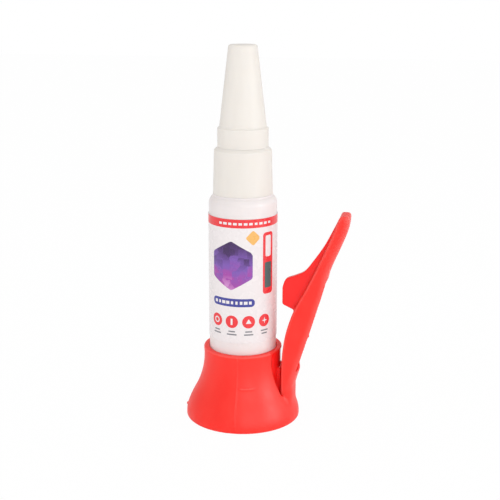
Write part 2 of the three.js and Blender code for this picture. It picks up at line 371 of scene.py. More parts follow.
@dataclass(frozen=True)
class MouldedPlastic:
    """Moulded plastic with a fine mould grain and faint flow marks, and a painted highlight: a paler colour
    laid where the piece's attribute asks for it.
    """

    name: str
    dark: tuple[float, float, float]
    light: tuple[float, float, float]
    roughness: tuple[float, float]
    blotch: float = 9.0
    stretch: float = 2.5
    grain: float = 0.22
    grain_depth: float = 0.004
    ripple: float = 4.0
    ripple_depth: float = 0.02
    glow: float = 0.0
    glow_reach: float = 0.6
    glow_tint: tuple[float, float, float] = (1.0, 0.9, 0.75)
    gloss: float = 0.5
    painted_highlight: tuple[float, float, float] | None = None

    def material(self) -> bpy.types.Material:
        """Builds the finish.

        Returns:
            The material.
        """
        made = Shading(self.name)
        color = made.tint(made.noise(self.blotch, 3, self.stretch), self.dark, self.light)
        # Painted highlight: a paler colour on edges, standing in for gloss.
        if self.painted_highlight is not None:
            color = made.over(color, "painted_highlight", self.painted_highlight)
        made.link(color, made.shader.inputs["Base Color"])
        rough = made.spread(made.noise(self.blotch / 4, 4), *self.roughness)
        made.link(rough, made.shader.inputs["Roughness"])
        wave = made.bump(made.noise(self.ripple, 1, self.stretch), self.ripple_depth)
        made.link(made.bump(made.noise(self.grain, 2), self.grain_depth, wave), made.shader.inputs["Normal"])
        if self.glow:
            made.shader.inputs["Subsurface Weight"].default_value = self.glow
            made.shader.inputs["Subsurface Radius"].default_value = self.glow_tint
            made.shader.inputs["Subsurface Scale"].default_value = self.glow_reach * MM
        made.shader.inputs["Specular IOR Level"].default_value = self.gloss
        return made.material


@dataclass(frozen=True)
class PrintedInk:
    """Ink under gloss film, with the faint mottle of a print roller."""

    name: str
    color: tuple[float, float, float]
    roughness: float = 0.28
    mottle: float = 0.8
    fade: tuple[float, float] = (0.98, 0.008)  # share kept and white added
    rough_span: tuple[float, float] = (-0.04, 0.05)
    smudge: float = 3.0
    ripple: float = 3.5
    ripple_depth: float = 0.0012

    def material(self) -> bpy.types.Material:
        """Builds the finish.

        Returns:
            The material.
        """
        made = Shading(self.name)
        pale = tuple(self.fade[0] * c + self.fade[1] for c in self.color)
        made.link(made.tint(made.noise(self.mottle, 3), self.color, pale), made.shader.inputs["Base Color"])
        rough = made.spread(made.noise(self.smudge, 3), *(self.roughness + span for span in self.rough_span))
        made.link(rough, made.shader.inputs["Roughness"])
        made.link(made.bump(made.noise(self.ripple, 1), self.ripple_depth), made.shader.inputs["Normal"])
        return made.material


@dataclass(frozen=True)
class FacetInk:
    """Print of crystal-like facets that fades from dark to bright."""

    name: str
    shades: tuple[tuple[float, float, float], ...]
    facet: float = 2.6
    low: float = 50.0
    high: float = 72.0
    climb: tuple[float, float] = (0.85, 0.0)
    scatter: float = 0.34
    smudge: float = 3.0
    roughness: tuple[float, float] = (0.22, 0.32)

    def material(self) -> bpy.types.Material:
        """Builds the finish.

        Returns:
            The material.
        """
        made = Shading(self.name)
        cells = made.node("ShaderNodeTexVoronoi", distance="CHEBYCHEV", Scale=1 / (self.facet * MM))
        made.link(made.place.outputs["Object"], cells.inputs["Vector"])
        split = made.node("ShaderNodeSeparateXYZ")
        made.link(made.place.outputs["Object"], split.inputs["Vector"])
        heights = (self.low * MM, self.high * MM)
        climb = map_range(made.material.node_tree, split.outputs["Z"], heights, self.climb)
        shift = made.node("ShaderNodeMath", operation="MULTIPLY_ADD")
        shift.inputs[1].default_value = self.scatter
        made.link(cells.outputs["Color"], shift.inputs[0])
        made.link(climb, shift.inputs[2])
        ramp = made.node("ShaderNodeValToRGB")
        stops = ramp.color_ramp.elements
        while len(stops) < len(self.shades):
            stops.new(0.5)
        for number, (stop, shade) in enumerate(zip(stops, self.shades)):
            stop.position = number / (len(self.shades) - 1)
            stop.color = (*shade, 1)
        made.link(shift.outputs["Value"], ramp.inputs["Fac"])
        made.link(ramp.outputs["Color"], made.shader.inputs["Base Color"])
        rough = made.spread(made.noise(self.smudge, 3), *self.roughness)
        made.link(rough, made.shader.inputs["Roughness"])
        return made.material


@dataclass(frozen=True)
class DrawnWire:
    """Bright steel wire with fine lengthwise drawing lines."""

    name: str
    color: tuple[float, float, float] = (0.6, 0.61, 0.63)
    dimming: float = 0.8
    line: float = 0.06
    line_stretch: float = 60.0
    line_depth: float = 0.002
    roughness: tuple[float, float] = (0.18, 0.34)

    def material(self) -> bpy.types.Material:
        """Builds the finish.

        Returns:
            The material.
        """
        made = Shading(self.name)
        made.shader.inputs["Metallic"].default_value = 1.0
        dim = tuple(self.dimming * c for c in self.color)
        lines = made.noise(self.line, 2, self.line_stretch)
        made.link(made.tint(lines, dim, self.color), made.shader.inputs["Base Color"])
        made.link(made.spread(lines, *self.roughness), made.shader.inputs["Roughness"])
        made.link(made.bump(lines, self.line_depth), made.shader.inputs["Normal"])
        return made.material


@dataclass(frozen=True)
class ClearGlue:
    """Thin clear liquid."""

    name: str
    dark: tuple[float, float, float] = (0.9, 0.94, 0.95)
    light: tuple[float, float, float] = (0.97, 0.98, 0.98)
    cloud: float = 6.0
    ior: float = 1.44
    roughness: float = 0.02

    def material(self) -> bpy.types.Material:
        """Builds the finish.

        Returns:
            The material.
        """
        made = Shading(self.name)
        made.link(made.tint(made.noise(self.cloud), self.dark, self.light), made.shader.inputs["Base Color"])
        made.shader.inputs["Transmission Weight"].default_value = 1.0
        made.shader.inputs["IOR"].default_value = self.ior
        made.shader.inputs["Roughness"].default_value = self.roughness
        return made.material


# The last colour here is a painted highlight: a paler red that stands in for gloss on edges and on the
# lever's back.
RED_PLASTIC = MouldedPlastic(
    "satin_red_plastic", (0.905, 0.028, 0.019), (0.935, 0.040, 0.028), (0.40, 0.47),
    glow=0.3, glow_reach=1.5, glow_tint=(1.0, 0.1, 0.08), gloss=0.27, painted_highlight=(0.95, 0.098, 0.084),
)
# Fin finish: smoother, and its brighter, deeper red is painted light that lifts the shade beside the lever.
POLISHED_RED_PAINTED_LIGHT = MouldedPlastic(
    "polished_red_plastic_painted_light", (0.965, 0.018, 0.016), (0.985, 0.022, 0.019), (0.14, 0.2),
    grain_depth=0.001, gloss=0.3,
)
# Slot finish: smoother, and its brighter red is painted light that stands in for light shining through the
# thin wall into the shaded slot.
SLOT_RED_PAINTED_LIGHT = MouldedPlastic(
    "slot_red_plastic_painted_light", (0.965, 0.018, 0.016), (0.985, 0.022, 0.019), (0.3, 0.36),
    grain_depth=0.001, gloss=0.12, glow=0.6, glow_reach=2.5, glow_tint=(1.0, 0.1, 0.08),
)
MILKY_PLASTIC = MouldedPlastic(
    "milky_bottle_plastic", (0.775, 0.722, 0.712), (0.815, 0.76, 0.75), (0.36, 0.44),
    blotch=14.0, stretch=6.0, glow=0.2, glow_reach=0.8, gloss=0.32,
)
IVORY_PLASTIC = MouldedPlastic(
    "ivory_cap_plastic", (0.765, 0.722, 0.672), (0.795, 0.757, 0.71), (0.42, 0.5),
    blotch=12.0, stretch=3.0, glow=0.2, glow_reach=0.8, gloss=0.18,
)
LINER_PLASTIC = MouldedPlastic(
    "soft_liner", (0.74, 0.74, 0.70), (0.80, 0.80, 0.77), (0.6, 0.75),
    blotch=2.0, grain=0.1, grain_depth=0.01,
)
LABEL_FILM = PrintedInk("white_label_film", (0.80, 0.75, 0.752), 0.26, 9.0)
WIRE = DrawnWire("bright_pin_wire")
GLUE = ClearGlue("clear_glue")


def dress(piece: bpy.types.Object, body: Body, slot: str, *nodes: str) -> None:
    """Sets a finished piece on its body.

    Args:
        piece: The piece, in place.
        body: Body that it moves with.
        slot: Material slot of the record; not used.
        nodes: Nodes of the frame that it stands for.
    """
    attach(piece, body.value)
    if nodes:
        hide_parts(*nodes)
    log.info("%s: %d faces on %s", piece.name, len(piece.data.polygons), body.value)


# Stand and lever


def rise(value: np.ndarray, start: float, run: float) -> np.ndarray:
    """Rises from 0 at the start to 1 at the end of a run."""
    return np.clip((value - start) / run, 0, 1)


def meet(a: np.ndarray, b: np.ndarray, soft: np.ndarray | float) -> np.ndarray:
    """Distance to what two shapes share, with the edge between them rounded.

    Args:
        a: Signed distances to the first shape.
        b: Signed distances to the second shape.
        soft: Width of the rounding.

    Returns:
        Signed distances.
    """
    share = np.maximum(soft - np.abs(a - b), 0) / soft
    return np.maximum(a, b) + share * share * soft / 4


def join(a: np.ndarray, b: np.ndarray, soft: np.ndarray | float) -> np.ndarray:
    """Distance to two shapes together, with a fillet between them, as in meet."""
    return -meet(-a, -b, soft)


@dataclass
class DistanceTable:
    """Signed distance to a closed outline, tabled so that it reads quickly."""

    outline: np.ndarray
    low: tuple[float, float]
    high: tuple[float, float]
    step: float = 0.15
    values: np.ndarray = field(init=False)

    def __post_init__(self) -> None:
        """Fills the table."""
        across = np.arange(self.low[0], self.high[0] + self.step, self.step)[:, None]
        up = np.arange(self.low[1], self.high[1] + self.step, self.step)[None, :]
        nearest = np.full((across.size, up.size), np.inf)
        for start, end in zip(self.outline, np.roll(self.outline, -1, axis=0)):
            run = end - start
            length = run @ run
            if length < 1e-12:
                continue
            share = np.clip(((across - start[0]) * run[0] + (up - start[1]) * run[1]) / length, 0, 1)
            off = (across - start[0] - share * run[0]) ** 2 + (up - start[1] - share * run[1]) ** 2
            nearest = np.minimum(nearest, off)
        self.values = np.sqrt(nearest) * np.where(inside(self.outline, across, up), -1, 1)

    def read(self, across: np.ndarray, up: np.ndarray) -> np.ndarray:
        """Reads the distance between table places.

        Args:
            across: First coordinates.
            up: Second coordinates.

        Returns:
            Signed distances, negative inside.
        """
        a = np.clip((across - self.low[0]) / self.step, 0, self.values.shape[0] - 1.001)
        u = np.clip((up - self.low[1]) / self.step, 0, self.values.shape[1] - 1.001)
        i, j = a.astype(int), u.astype(int)
        a, u = a - i, u - j
        lower = self.values[i, j] * (1 - a) + self.values[i + 1, j] * a
        upper = self.values[i, j + 1] * (1 - a) + self.values[i + 1, j + 1] * a
        return lower * (1 - u) + upper * u


Field = Callable[[np.ndarray, np.ndarray, np.ndarray], np.ndarray]


@dataclass
class SkinMaker:
    """Draws the skin of a solid that is given by its distances, on a lattice."""

    shape: Field
    low: tuple[float, float, float]
    high: tuple[float, float, float]
    step: float

    def lattice(self) -> np.ndarray:
        """Reads the distances at every place of the lattice, a few layers at a time.

        Returns:
            The distances, by place along X, Y and Z.
        """
        together = 16
        x, y, z = [np.arange(a, b + self.step, self.step) for a, b in zip(self.low, self.high)]
        layers = []
        for part in np.array_split(z, max(1, len(z) // together)):
            grid = np.broadcast_arrays(x[:, None, None], y[None, :, None], part[None, None, :])
            layers.append(self.shape(*grid).astype(np.float32))
        return np.concatenate(layers, axis=2)

    def skin(self) -> tuple[np.ndarray, np.ndarray, np.ndarray]:
        """Makes the skin.

        Returns:
            Places, outward normals and four-cornered faces.
        """
        values = self.lattice()
        solid = values < 0
        counts = sum(self.corner(solid, *c).astype(np.int8) for c in np.ndindex(2, 2, 2))
        cells = np.argwhere((counts > 0) & (counts < 8))
        number = np.full(counts.shape, -1, np.int64)
        number[tuple(cells.T)] = np.arange(len(cells))
        total, crossings = np.zeros((len(cells), 3)), np.zeros(len(cells))
        for axis in range(3):
            for side in np.ndindex(2, 2):
                start = np.insert(np.array(side), axis, 0)
                end = np.insert(np.array(side), axis, 1)
                a = values[tuple((cells + start).T)].astype(float)
                b = values[tuple((cells + end).T)].astype(float)
                cut = (a < 0) != (b < 0)
                place = np.tile(start.astype(float), (len(cells), 1))
                place[:, axis] = np.where(cut, a / np.where(cut, a - b, 1), 0)
                total[cut] += place[cut]
                crossings += cut
        verts = np.array(self.low) + (cells + total / crossings[:, None]) * self.step
        verts, normals = self.settle(verts)
        return verts, normals, self.faces(solid, number)

    @staticmethod
    def corner(values: np.ndarray, i: int, j: int, k: int) -> np.ndarray:
        """Picks one corner of every cell."""
        n = values.shape
        return values[i : n[0] - 1 + i, j : n[1] - 1 + j, k : n[2] - 1 + k]

    def slope(self, verts: np.ndarray) -> np.ndarray:
        """Finds the direction in which the distance grows.

        Args:
            verts: Places, one row each.

        Returns:
            Slopes, one row each.
        """
        reach = 0.06
        steps = np.eye(3) * reach
        return np.stack(
            [(self.shape(*(verts + s).T) - self.shape(*(verts - s).T)) / (2 * reach) for s in steps], 1
        )

    def bulge(self, verts: np.ndarray) -> np.ndarray:
        """Finds how sharply the skin bulges.

        Args:
            verts: Places on the skin.

        Returns:
            Sum of both curvatures at each place, positive on an outer edge.
        """
        reach = 0.3
        round_about = sum(self.shape(*(verts + s).T) for s in np.vstack([np.eye(3), -np.eye(3)]) * reach)
        return (round_about - 6 * self.shape(*verts.T)) / reach**2

    def settle(self, verts: np.ndarray) -> tuple[np.ndarray, np.ndarray]:
        """Moves places onto the true skin.

        Args:
            verts: Places near the skin.

        Returns:
            Places on the skin and their outward normals.
        """
        passes, least, longest = 4, 0.2, 0.5 * self.step
        for _ in range(passes):
            slope = self.slope(verts)
            fall = self.shape(*verts.T) / np.maximum((slope**2).sum(1), least)
            verts = verts - np.clip(fall[:, None] * slope, -longest, longest)
        slope = self.slope(verts)
        return verts, slope / np.maximum(np.linalg.norm(slope, axis=1), 1e-9)[:, None]

    @staticmethod
    def faces(solid: np.ndarray, number: np.ndarray) -> np.ndarray:
        """Joins the cells round each lattice edge that the skin cuts.

        Args:
            solid: True for lattice places in the solid.
            number: Number of each cell's place on the skin.

        Returns:
            Corner numbers, four to a row.
        """
        found = []
        for axis in range(3):
            u, v = (axis + 1) % 3, (axis + 2) % 3
            first = np.take(solid, range(solid.shape[axis] - 1), axis)
            second = np.take(solid, range(1, solid.shape[axis]), axis)
            edges = np.argwhere(first != second)
            edges = edges[(edges[:, u] > 0) & (edges[:, v] > 0)]
            edges = edges[(edges[:, u] < solid.shape[u] - 1) & (edges[:, v] < solid.shape[v] - 1)]
            back_u, back_v = np.eye(3, dtype=int)[u], np.eye(3, dtype=int)[v]
            ring = [edges - back_u - back_v, edges - back_v, edges, edges - back_u]
            quad = np.stack([number[tuple(r.T)] for r in ring], 1)
            outward = first[tuple(edges.T)]
            found.append(np.where(outward[:, None], quad, quad[:, ::-1]))
        return np.vstack(found)


# Bounds of outlines that run on past the moulding
PAST_AXIS, BELOW_FOOT, BEYOND_LEVER = -60.0, -20.0, 160.0


@dataclass
class SqueezeStand:
    """Bell stand with its socket, and the sprung lever that grows out of it: one moulding."""

    socket_radius: float = 13.1
    socket_outer: float = 14.9
    floor: float = 2.0
    socket_round: float = 0.4
    rim_height: float = 28.6
    rim_round: float = 0.6
    neck_radius: float = 15.2
    lip_radius: float = 15.32
    lip_drop: float = 1.2
    swell_drop: float = 2.2
    foot_radius: float = 22.4
    foot_round: float = 0.3
    skirt_wall: float = 1.8
    skirt_round: float = 0.4
    hollow_round: float = 1.0
    flare_start: float = 25.0
    slope_top: float = 17.4
    slope_bottom: float = 4.2
    slope_split: float = 0.55
    foot_blend: float = 1.2
    slot_half: float = 7.9
    slot_floor: float = 10.0
    slot_top: float = 27.9
    slot_wall: float = 14.9
    root_web_half: float = 4.3
    root_web_top: float = 21.0
    root_web_gap: float = 0.25
    root_web_lean: float = 0.036
    root_web_sink: tuple[float, float] = (0.9, 1.0)  # into the wall and the floor
    root_web_round: tuple[float, float, float] = (0.5, 0.4, 0.4)  # top, sides and foot
    slot_round: float = 1.5
    slot_edge: float = 0.3
    slot_lining: float = 1.7
    lining_round: float = 0.6
    hinge_height: float = 11.5
    bend_length: float = 5.0
    root_face: float = 16.3
    root_depth: float = 4.75
    root_half: float = 7.2
    root_fillet: tuple[float, float] = (0.25, 0.6)  # least, and more at the foot
    root_fillet_top: float = 13.0
    root_fillet_fade: float = 4.0
    tip_half: float = 5.2
    lever_top: float = 82.6
    lever_foot: float = 4.5
    foot_corner: float = 1.0
    tip_round: float = 1.2
    root_top: float = 14.0
    back_round: float = 3.0
    back_thinning: float = 1.5
    back_thins: tuple[float, float] = (72.0, 8.0)  # start and run
    face_round: float = 0.8
    face_run_on: float = 80.0
    back_run_on: float = 20.0
    face: tuple[tuple[float, float], ...] = (
        (16.3, 10.0), (16.3, 20.0), (16.4, 24.6), (16.85, 30.0), (17.85, 36.0), (19.6, 42.0), (21.25, 46.0),
        (23.9, 51.0), (26.4, 56.0), (30.1, 64.0), (33.7, 72.0), (36.6, 79.6), (37.6, 82.6),
    )
    back: tuple[tuple[float, float], ...] = (
        (27.85, 37.0), (32.2, 52.5), (33.35, 57.5), (34.62, 62.0), (40.3, 76.0), (41.35, 82.6),
    )
    pocket: tuple[float, float] = (20.0, 57.0)
    pocket_round: float = 2.5
    pocket_wall: float = 1.7
    pocket_floor: float = 1.0
    pocket_edge: float = 0.6
    web: float = 2.2
    fin_half: float = 1.2
    fin_round: float = 0.6
    fin_fillet: float = 0.9
    fin_polish_and_light: tuple[float, float] = (0.3, 0.4)
    fin_edge: float = 15.65
    fin_upper: float = 80.5
    fin_sweep: tuple[tuple[float, float], ...] = (
        (34.75, 76.4), (31.5, 70.1), (27.25, 63.7), (24.2, 59.85), (20.9, 58.1),
    )
    fin_brow: tuple[float, float] = (17.0, 56.35)
    fin_edge_top: float = 53.0
    fin_edge_bottom: float = 46.2
    fin_corner: float = 1.1
    fin_lower: float = 43.15
    nubs: tuple[tuple[float, float, float, float], ...] = ((-22.0, -2.4, 2.7, 0.6), (25.1, 5.4, 31.6, 0.55))
    nub_fillet: float = 0.3
    # turn, height, half length, half width and relief
    witness: tuple[float, float, float, float, float] = (math.radians(-74.0), 16.0, 3.0, 0.5, 0.24)
    seam_turn: float = math.radians(2.5)
    seam_height: float = 0.08
    seam_half: float = 0.35
    relief_sink: float = 0.2
    # Where the painted highlight falls: on outer edges above the foot and on the lever's back, but not in the
    # slot or the pocket.
    highlight_bulge: tuple[float, float] = (0.5, 0.9)  # start and run, as in highlight_foot and highlight_root
    highlight_foot: tuple[float, float] = (2.0, 1.5)
    highlight_root: tuple[float, float] = (12.0, 6.0)
    highlight_depth: float = 2.0
    highlight_pocket: float = 0.5
    highlight_slot: float = 0.8
    highlight_edges: float = 0.85
    skin_low: float = -0.9
    skin_far: float = 43.0
    skin_margin: float = 1.0
    step: float = 0.4
    face_line: np.ndarray = field(init=False)
    tables: dict[str, DistanceTable] = field(init=False)

    def __post_init__(self) -> None:
        """Draws the outlines that the moulding is made from."""
        self.face_line = flowing(np.array(self.face))
        strip = self.strip_outline(self.lever_foot, 0.0, self.lever_top, self.tip_round)
        pocket = self.strip_outline(self.pocket[0], self.pocket_wall, self.pocket[1], self.pocket_round)
        axis, inner, far, side = (0.0, -3.0), (-2.0, -3.0), (48.0, 90.0), (24.0, 90.0)
        self.tables = {
            "bell": DistanceTable(self.bell_outline(), axis, far),
            "core": DistanceTable(self.core_outline(), axis, far),
            "inner": DistanceTable(self.face_outline(0.0), inner, far),
            "web": DistanceTable(self.face_outline(self.web), inner, far),
            "back": DistanceTable(self.back_outline(), axis, far),
            "strip": DistanceTable(strip, axis, side),
            "pocket": DistanceTable(pocket, axis, side),
            "fin": DistanceTable(self.fin_outline(), inner, far),
        }

    def flank(self, inset: float) -> np.ndarray:
        """Draws the bell's flank from foot to neck.

        Args:
            inset: How far the flank lies inside the bell's skin.

        Returns:
            Radius and height, one row each.
        """
        neck, foot = self.neck_radius - inset, self.foot_radius - inset
        split = (
            neck + (foot - neck) * self.slope_split,
            self.slope_top + (self.slope_bottom - self.slope_top) * self.slope_split,
        )
        lower = bend((foot, self.foot_blend), (foot, self.slope_bottom), split, 24)
        upper = bend(split, (neck, self.slope_top), (neck, self.flare_start), 24)
        return np.vstack([lower, upper[1:]])

    def bell_outline(self) -> np.ndarray:
        """Draws the section of the solid bell with its rolled rim.

        Returns:
            Radius and height, one row each.
        """
        wide, lip, high = self.foot_radius, self.lip_radius, self.rim_height
        foot = rounded([(PAST_AXIS, 0, 0), (wide, 0, self.foot_round), (wide, self.foot_blend, 0)])
        neck, swell_top, lip_low = self.neck_radius, high - self.swell_drop, high - self.lip_drop
        swell = bend((neck, self.flare_start), (neck, swell_top), (lip, lip_low))
        rim = rounded([(lip, lip_low, 0), (lip, high, self.rim_round), (PAST_AXIS, high, 0)])
        return np.vstack([foot, self.flank(0)[1:], swell[1:], rim[1:]])

    def core_outline(self) -> np.ndarray:
        """Draws the section of the hollow under the skirt.

        Returns:
            Radius and height, one row each.
        """
        inset = self.flank(self.skirt_wall)
        below = [(PAST_AXIS, BELOW_FOOT), (inset[0, 0], BELOW_FOOT)]
        return np.vstack([below, inset, [(PAST_AXIS, self.flare_start)]])

    def face_at(self, height: float) -> float:
        """Gives the distance of the lever's inner face from the axis."""
        return float(np.interp(height, self.face_line[:, 1], self.face_line[:, 0]))

    def face_outline(self, wall: float) -> np.ndarray:
        """Draws all that lies outside the lever's inner face.

        Args:
            wall: How far the face is moved outwards.

        Returns:
            Side view, in X and Z.
        """
        line = self.face_line + (wall, 0)
        beyond = line[-1] + (line[-1] - line[-2]) * self.face_run_on
        outside = [beyond, (BEYOND_LEVER, beyond[1]), (BEYOND_LEVER, BELOW_FOOT)]
        return np.vstack([[(line[0, 0], BELOW_FOOT)], line, outside])

    def back_outline(self) -> np.ndarray:
        """Draws the section of the lever's outer face, which is turned about the axis.

        Returns:
            Radius and height, one row each.
        """
        outer = self.root_face + self.root_depth
        curve = flowing(np.array([(outer, self.root_top), *self.back]))
        beyond = curve[-1] + (curve[-1] - curve[-2]) * self.back_run_on
        below = [(PAST_AXIS, BELOW_FOOT), (outer, BELOW_FOOT)]
        return np.vstack([below, curve, [beyond, (PAST_AXIS, beyond[1])]])

    def strip_outline(self, bottom: float, inset: float, top: float, round_off: float) -> np.ndarray:
        """Draws one half of the lever's front view.

        Args:
            bottom: Height of the lower end.
            inset: Wall left at the side.
            top: Height of the upper end.
            round_off: Rounding of the upper corner.

        Returns:
            Front view, in Y and Z, which runs on past the middle.
        """
        past_middle = -40.0

        def half(height: float) -> float:
            """Gives half the strip's width at a height."""
            share = (height - self.hinge_height) / (self.lever_top - self.hinge_height)
            return self.root_half + (self.tip_half - self.root_half) * share - inset

        lower = [(past_middle, bottom, 0), (half(bottom), bottom, self.foot_corner)]
        upper = [(half(top), top, round_off), (past_middle, top, 0)]
        return rounded(lower + upper, steps=10)

    def fin_outline(self) -> np.ndarray:
        """Draws the side view of the pressing fin.

        Returns:
            Places in X and Z, one row each.
        """
        upper = self.face_at(self.fin_upper)
        arm = self.face_at(self.fin_lower) + self.web
        edge, top, bottom = self.fin_edge, self.fin_edge_top, self.fin_edge_bottom
        brow = flowing(np.array([(upper, self.fin_upper), *self.fin_sweep, self.fin_brow, (edge, top)]))
        heel = rounded([(edge, top, 0), (edge, bottom, self.fin_corner), (arm, self.fin_lower, 0)])
        root = [(self.face_at(top) + self.web / 2, top)]
        return np.vstack([[(upper + self.web / 2, self.fin_upper)], brow, heel[1:], root])

    def slot_field(self, y: np.ndarray, z: np.ndarray) -> np.ndarray:
        """Distance to the slot's front view, which is open at the top.

        Args:
            y: Places across the slot.
            z: Heights.

        Returns:
            Signed distances.
        """
        across = np.abs(y) - (self.slot_half - self.slot_round)
        down = self.slot_floor + self.slot_round - z
        corner = np.hypot(np.maximum(across, 0), np.maximum(down, 0))
        return corner + np.minimum(np.maximum(across, down), 0) - self.slot_round

    def relief(self, x: np.ndarray, y: np.ndarray, z: np.ndarray) -> np.ndarray:
        """Tells how far the parting seam and the witness mark stand out of the bell.

        Args:
            x: Places along the lever's side.
            y: Places across it.
            z: Heights.

        Returns:
            Heights above the skin.
        """
        radius = np.hypot(x, y)
        seam = (x * math.cos(self.seam_turn) + y * math.sin(self.seam_turn)) / self.seam_half
        turn, height, along, tall, proud = self.witness
        mark = ((np.arctan2(y, x) - turn) * radius / along) ** 4 + ((z - height) / tall) ** 2
        raised = self.seam_height * np.exp(-(seam**2)) + proud * np.exp(-mark)
        return raised * (radius > self.socket_outer - self.relief_sink) * np.clip(z, 0, 1)

    def root_web(self, x: np.ndarray, y: np.ndarray, z: np.ndarray) -> np.ndarray:
        """Distance to the web that stands in the slot behind the lever's root.

        Args:
            x: Places along the lever's side.
            y: Places across it.
            z: Heights.

        Returns:
            Signed distances.
        """
        front = self.root_face - self.root_web_gap - self.root_web_lean * (z - self.hinge_height)
        web = meet(x - front, z - self.root_web_top, self.root_web_round[0])
        web = meet(web, np.abs(y) - self.root_web_half, self.root_web_round[1])
        back = self.socket_outer - self.root_web_sink[0] - np.hypot(x, y)
        foot = self.slot_floor - self.root_web_sink[1] - z
        return np.maximum(np.maximum(web, back), np.maximum(foot, -x))

    def stand_field(self, x: np.ndarray, y: np.ndarray, z: np.ndarray) -> np.ndarray:
        """Distance to the bell with its socket, hollow skirt and slot.

        Args:
            x: Places along the lever's side.
            y: Places across it.
            z: Heights.

        Returns:
            Signed distances.
        """
        radius = np.hypot(x, y)
        body = self.tables["bell"].read(radius, z) - self.relief(x, y, z)
        body = meet(body, -np.maximum(radius - self.socket_radius, self.floor - z), self.socket_round)
        hollow = meet(self.tables["core"].read(radius, z), self.socket_outer - radius, self.hollow_round)
        slot = self.slot_field(y, z)
        hollow = meet(hollow, np.minimum(self.slot_lining - slot, x), self.lining_round)
        body = meet(body, -hollow, self.skirt_round)
        slot = np.maximum(slot, z - self.slot_top)
        slot = np.maximum(np.maximum(slot, self.slot_wall - radius), -x)
        body = meet(body, -slot, self.slot_edge)
        return join(body, self.root_web(x, y, z), self.root_web_round[2])

    def lever_field(self, x: np.ndarray, y: np.ndarray, z: np.ndarray) -> np.ndarray:
        """Distance to the lever with its pocket and fin.

        Args:
            x: Places along the lever's side.
            y: Places across it.
            z: Heights.

        Returns:
            Signed distances.
        """
        radius, side = np.hypot(x, y), np.abs(y)
        soft = self.back_round - self.back_thinning * rise(z, *self.back_thins)
        arm = meet(self.tables["strip"].read(side, z), self.tables["back"].read(radius, z), soft)
        arm = meet(arm, self.tables["inner"].read(x, z), self.face_round)
        pocket = meet(self.tables["web"].read(x, z), self.tables["pocket"].read(side, z), self.pocket_floor)
        arm = meet(arm, -pocket, self.pocket_edge)
        fin = meet(self.tables["fin"].read(x, z), side - self.fin_half, self.fin_round)
        return join(arm, fin, self.fin_fillet)

    def moulding(self, x: np.ndarray, y: np.ndarray, z: np.ndarray) -> np.ndarray:
        """Distance to the whole moulding, with a fillet at the lever's root and its flash nubs.

        Args:
            x: Places along the lever's side.
            y: Places across it.
            z: Heights.

        Returns:
            Signed distances.
        """
        slim, more = self.root_fillet
        fillet = slim + more * rise(self.root_fillet_top - z, 0.0, self.root_fillet_fade)
        whole = join(self.stand_field(x, y, z), self.lever_field(x, y, z), fillet)
        for *spot, size in self.nubs:
            knob = np.sqrt((x - spot[0]) ** 2 + (y - spot[1]) ** 2 + (z - spot[2]) ** 2) - size
            whole = join(whole, knob, self.nub_fillet)
        return whole

    def build(self) -> list[bpy.types.Object]:
        """Builds the bell and the lever, dresses the bell, and sets the lever in place of its frame node.

        Returns:
            Both pieces.
        """
        reach, top = self.foot_radius + self.skin_margin, self.lever_top + self.skin_margin
        low, high = (-reach, -reach, self.skin_low), (self.skin_far, reach, top)
        maker = SkinMaker(self.moulding, low, high, self.step)
        verts, normals, faces = maker.skin()
        middle = verts[faces].mean(1)
        on_lever = self.lever_field(*middle.T) < self.stand_field(*middle.T)
        on_lever &= middle[:, 2] > self.hinge_height
        # Painted highlight: a paler red on edges and on the lever's back, standing in for gloss.
        finish, painted_highlight = RED_PLASTIC.material(), self.painted_highlight(verts, maker.bulge(verts))
        bell = self.half("stand_bell", verts, normals, painted_highlight, faces[~on_lever], finish)
        lever = self.half("squeeze_arm", verts, normals, painted_highlight, faces[on_lever], finish)
        self.polish_and_paint_light(bell, lever)
        dress(bell, Body.STAND, "stand_plastic", "base_stand")
        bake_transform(lever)
        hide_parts("squeeze_lever")
        log.info("%s: %d faces, bends from stand to lever", lever.name, len(lever.data.polygons))
        return [bell, lever]

    def painted_highlight(self, verts: np.ndarray, bulge: np.ndarray) -> np.ndarray:
        """Tells how much painted highlight, a paler red standing in for gloss, each place takes.

        Args:
            verts: Places on the skin.
            bulge: Curvature there.

        Returns:
            Shares from 0 to 1, highest on edges and on the lever's back, but not at the foot or in the slot.
        """
        x, y, z = verts.T
        on_lever = self.lever_field(x, y, z) < self.stand_field(x, y, z)
        slotted = (self.slot_field(y, z) < self.highlight_slot) & (x > 0) & ~on_lever
        edges = rise(bulge, *self.highlight_bulge) * rise(z, *self.highlight_foot) * ~slotted
        back = np.clip(1 + self.tables["back"].read(np.hypot(x, y), z) / self.highlight_depth, 0, 1)
        back *= rise(self.tables["pocket"].read(np.abs(y), z), 0.0, self.highlight_pocket)
        return np.maximum(self.highlight_edges * edges, back * on_lever * rise(z, *self.highlight_root))

    def polish_and_paint_light(self, bell: bpy.types.Object, lever: bpy.types.Object) -> None:
        """Gives the slot and the fin a smoother finish in a brighter, deeper red. The smoothness is their
        own, and the brighter red is painted light that lifts their shade.

        Args:
            bell: The bell, in its main finish.
            lever: The lever, in its main finish.
        """
        for piece, core, finish in ((bell, self.slot_core, SLOT_RED_PAINTED_LIGHT), (lever, self.fin_core, POLISHED_RED_PAINTED_LIGHT)):
            piece.data.materials.append(finish.material())
            middle = np.empty(3 * len(piece.data.polygons))
            piece.data.polygons.foreach_get("center", middle)
            cored = core(*(middle.reshape(-1, 3).T / MM))
            piece.data.polygons.foreach_set("material_index", cored.astype(np.int32))

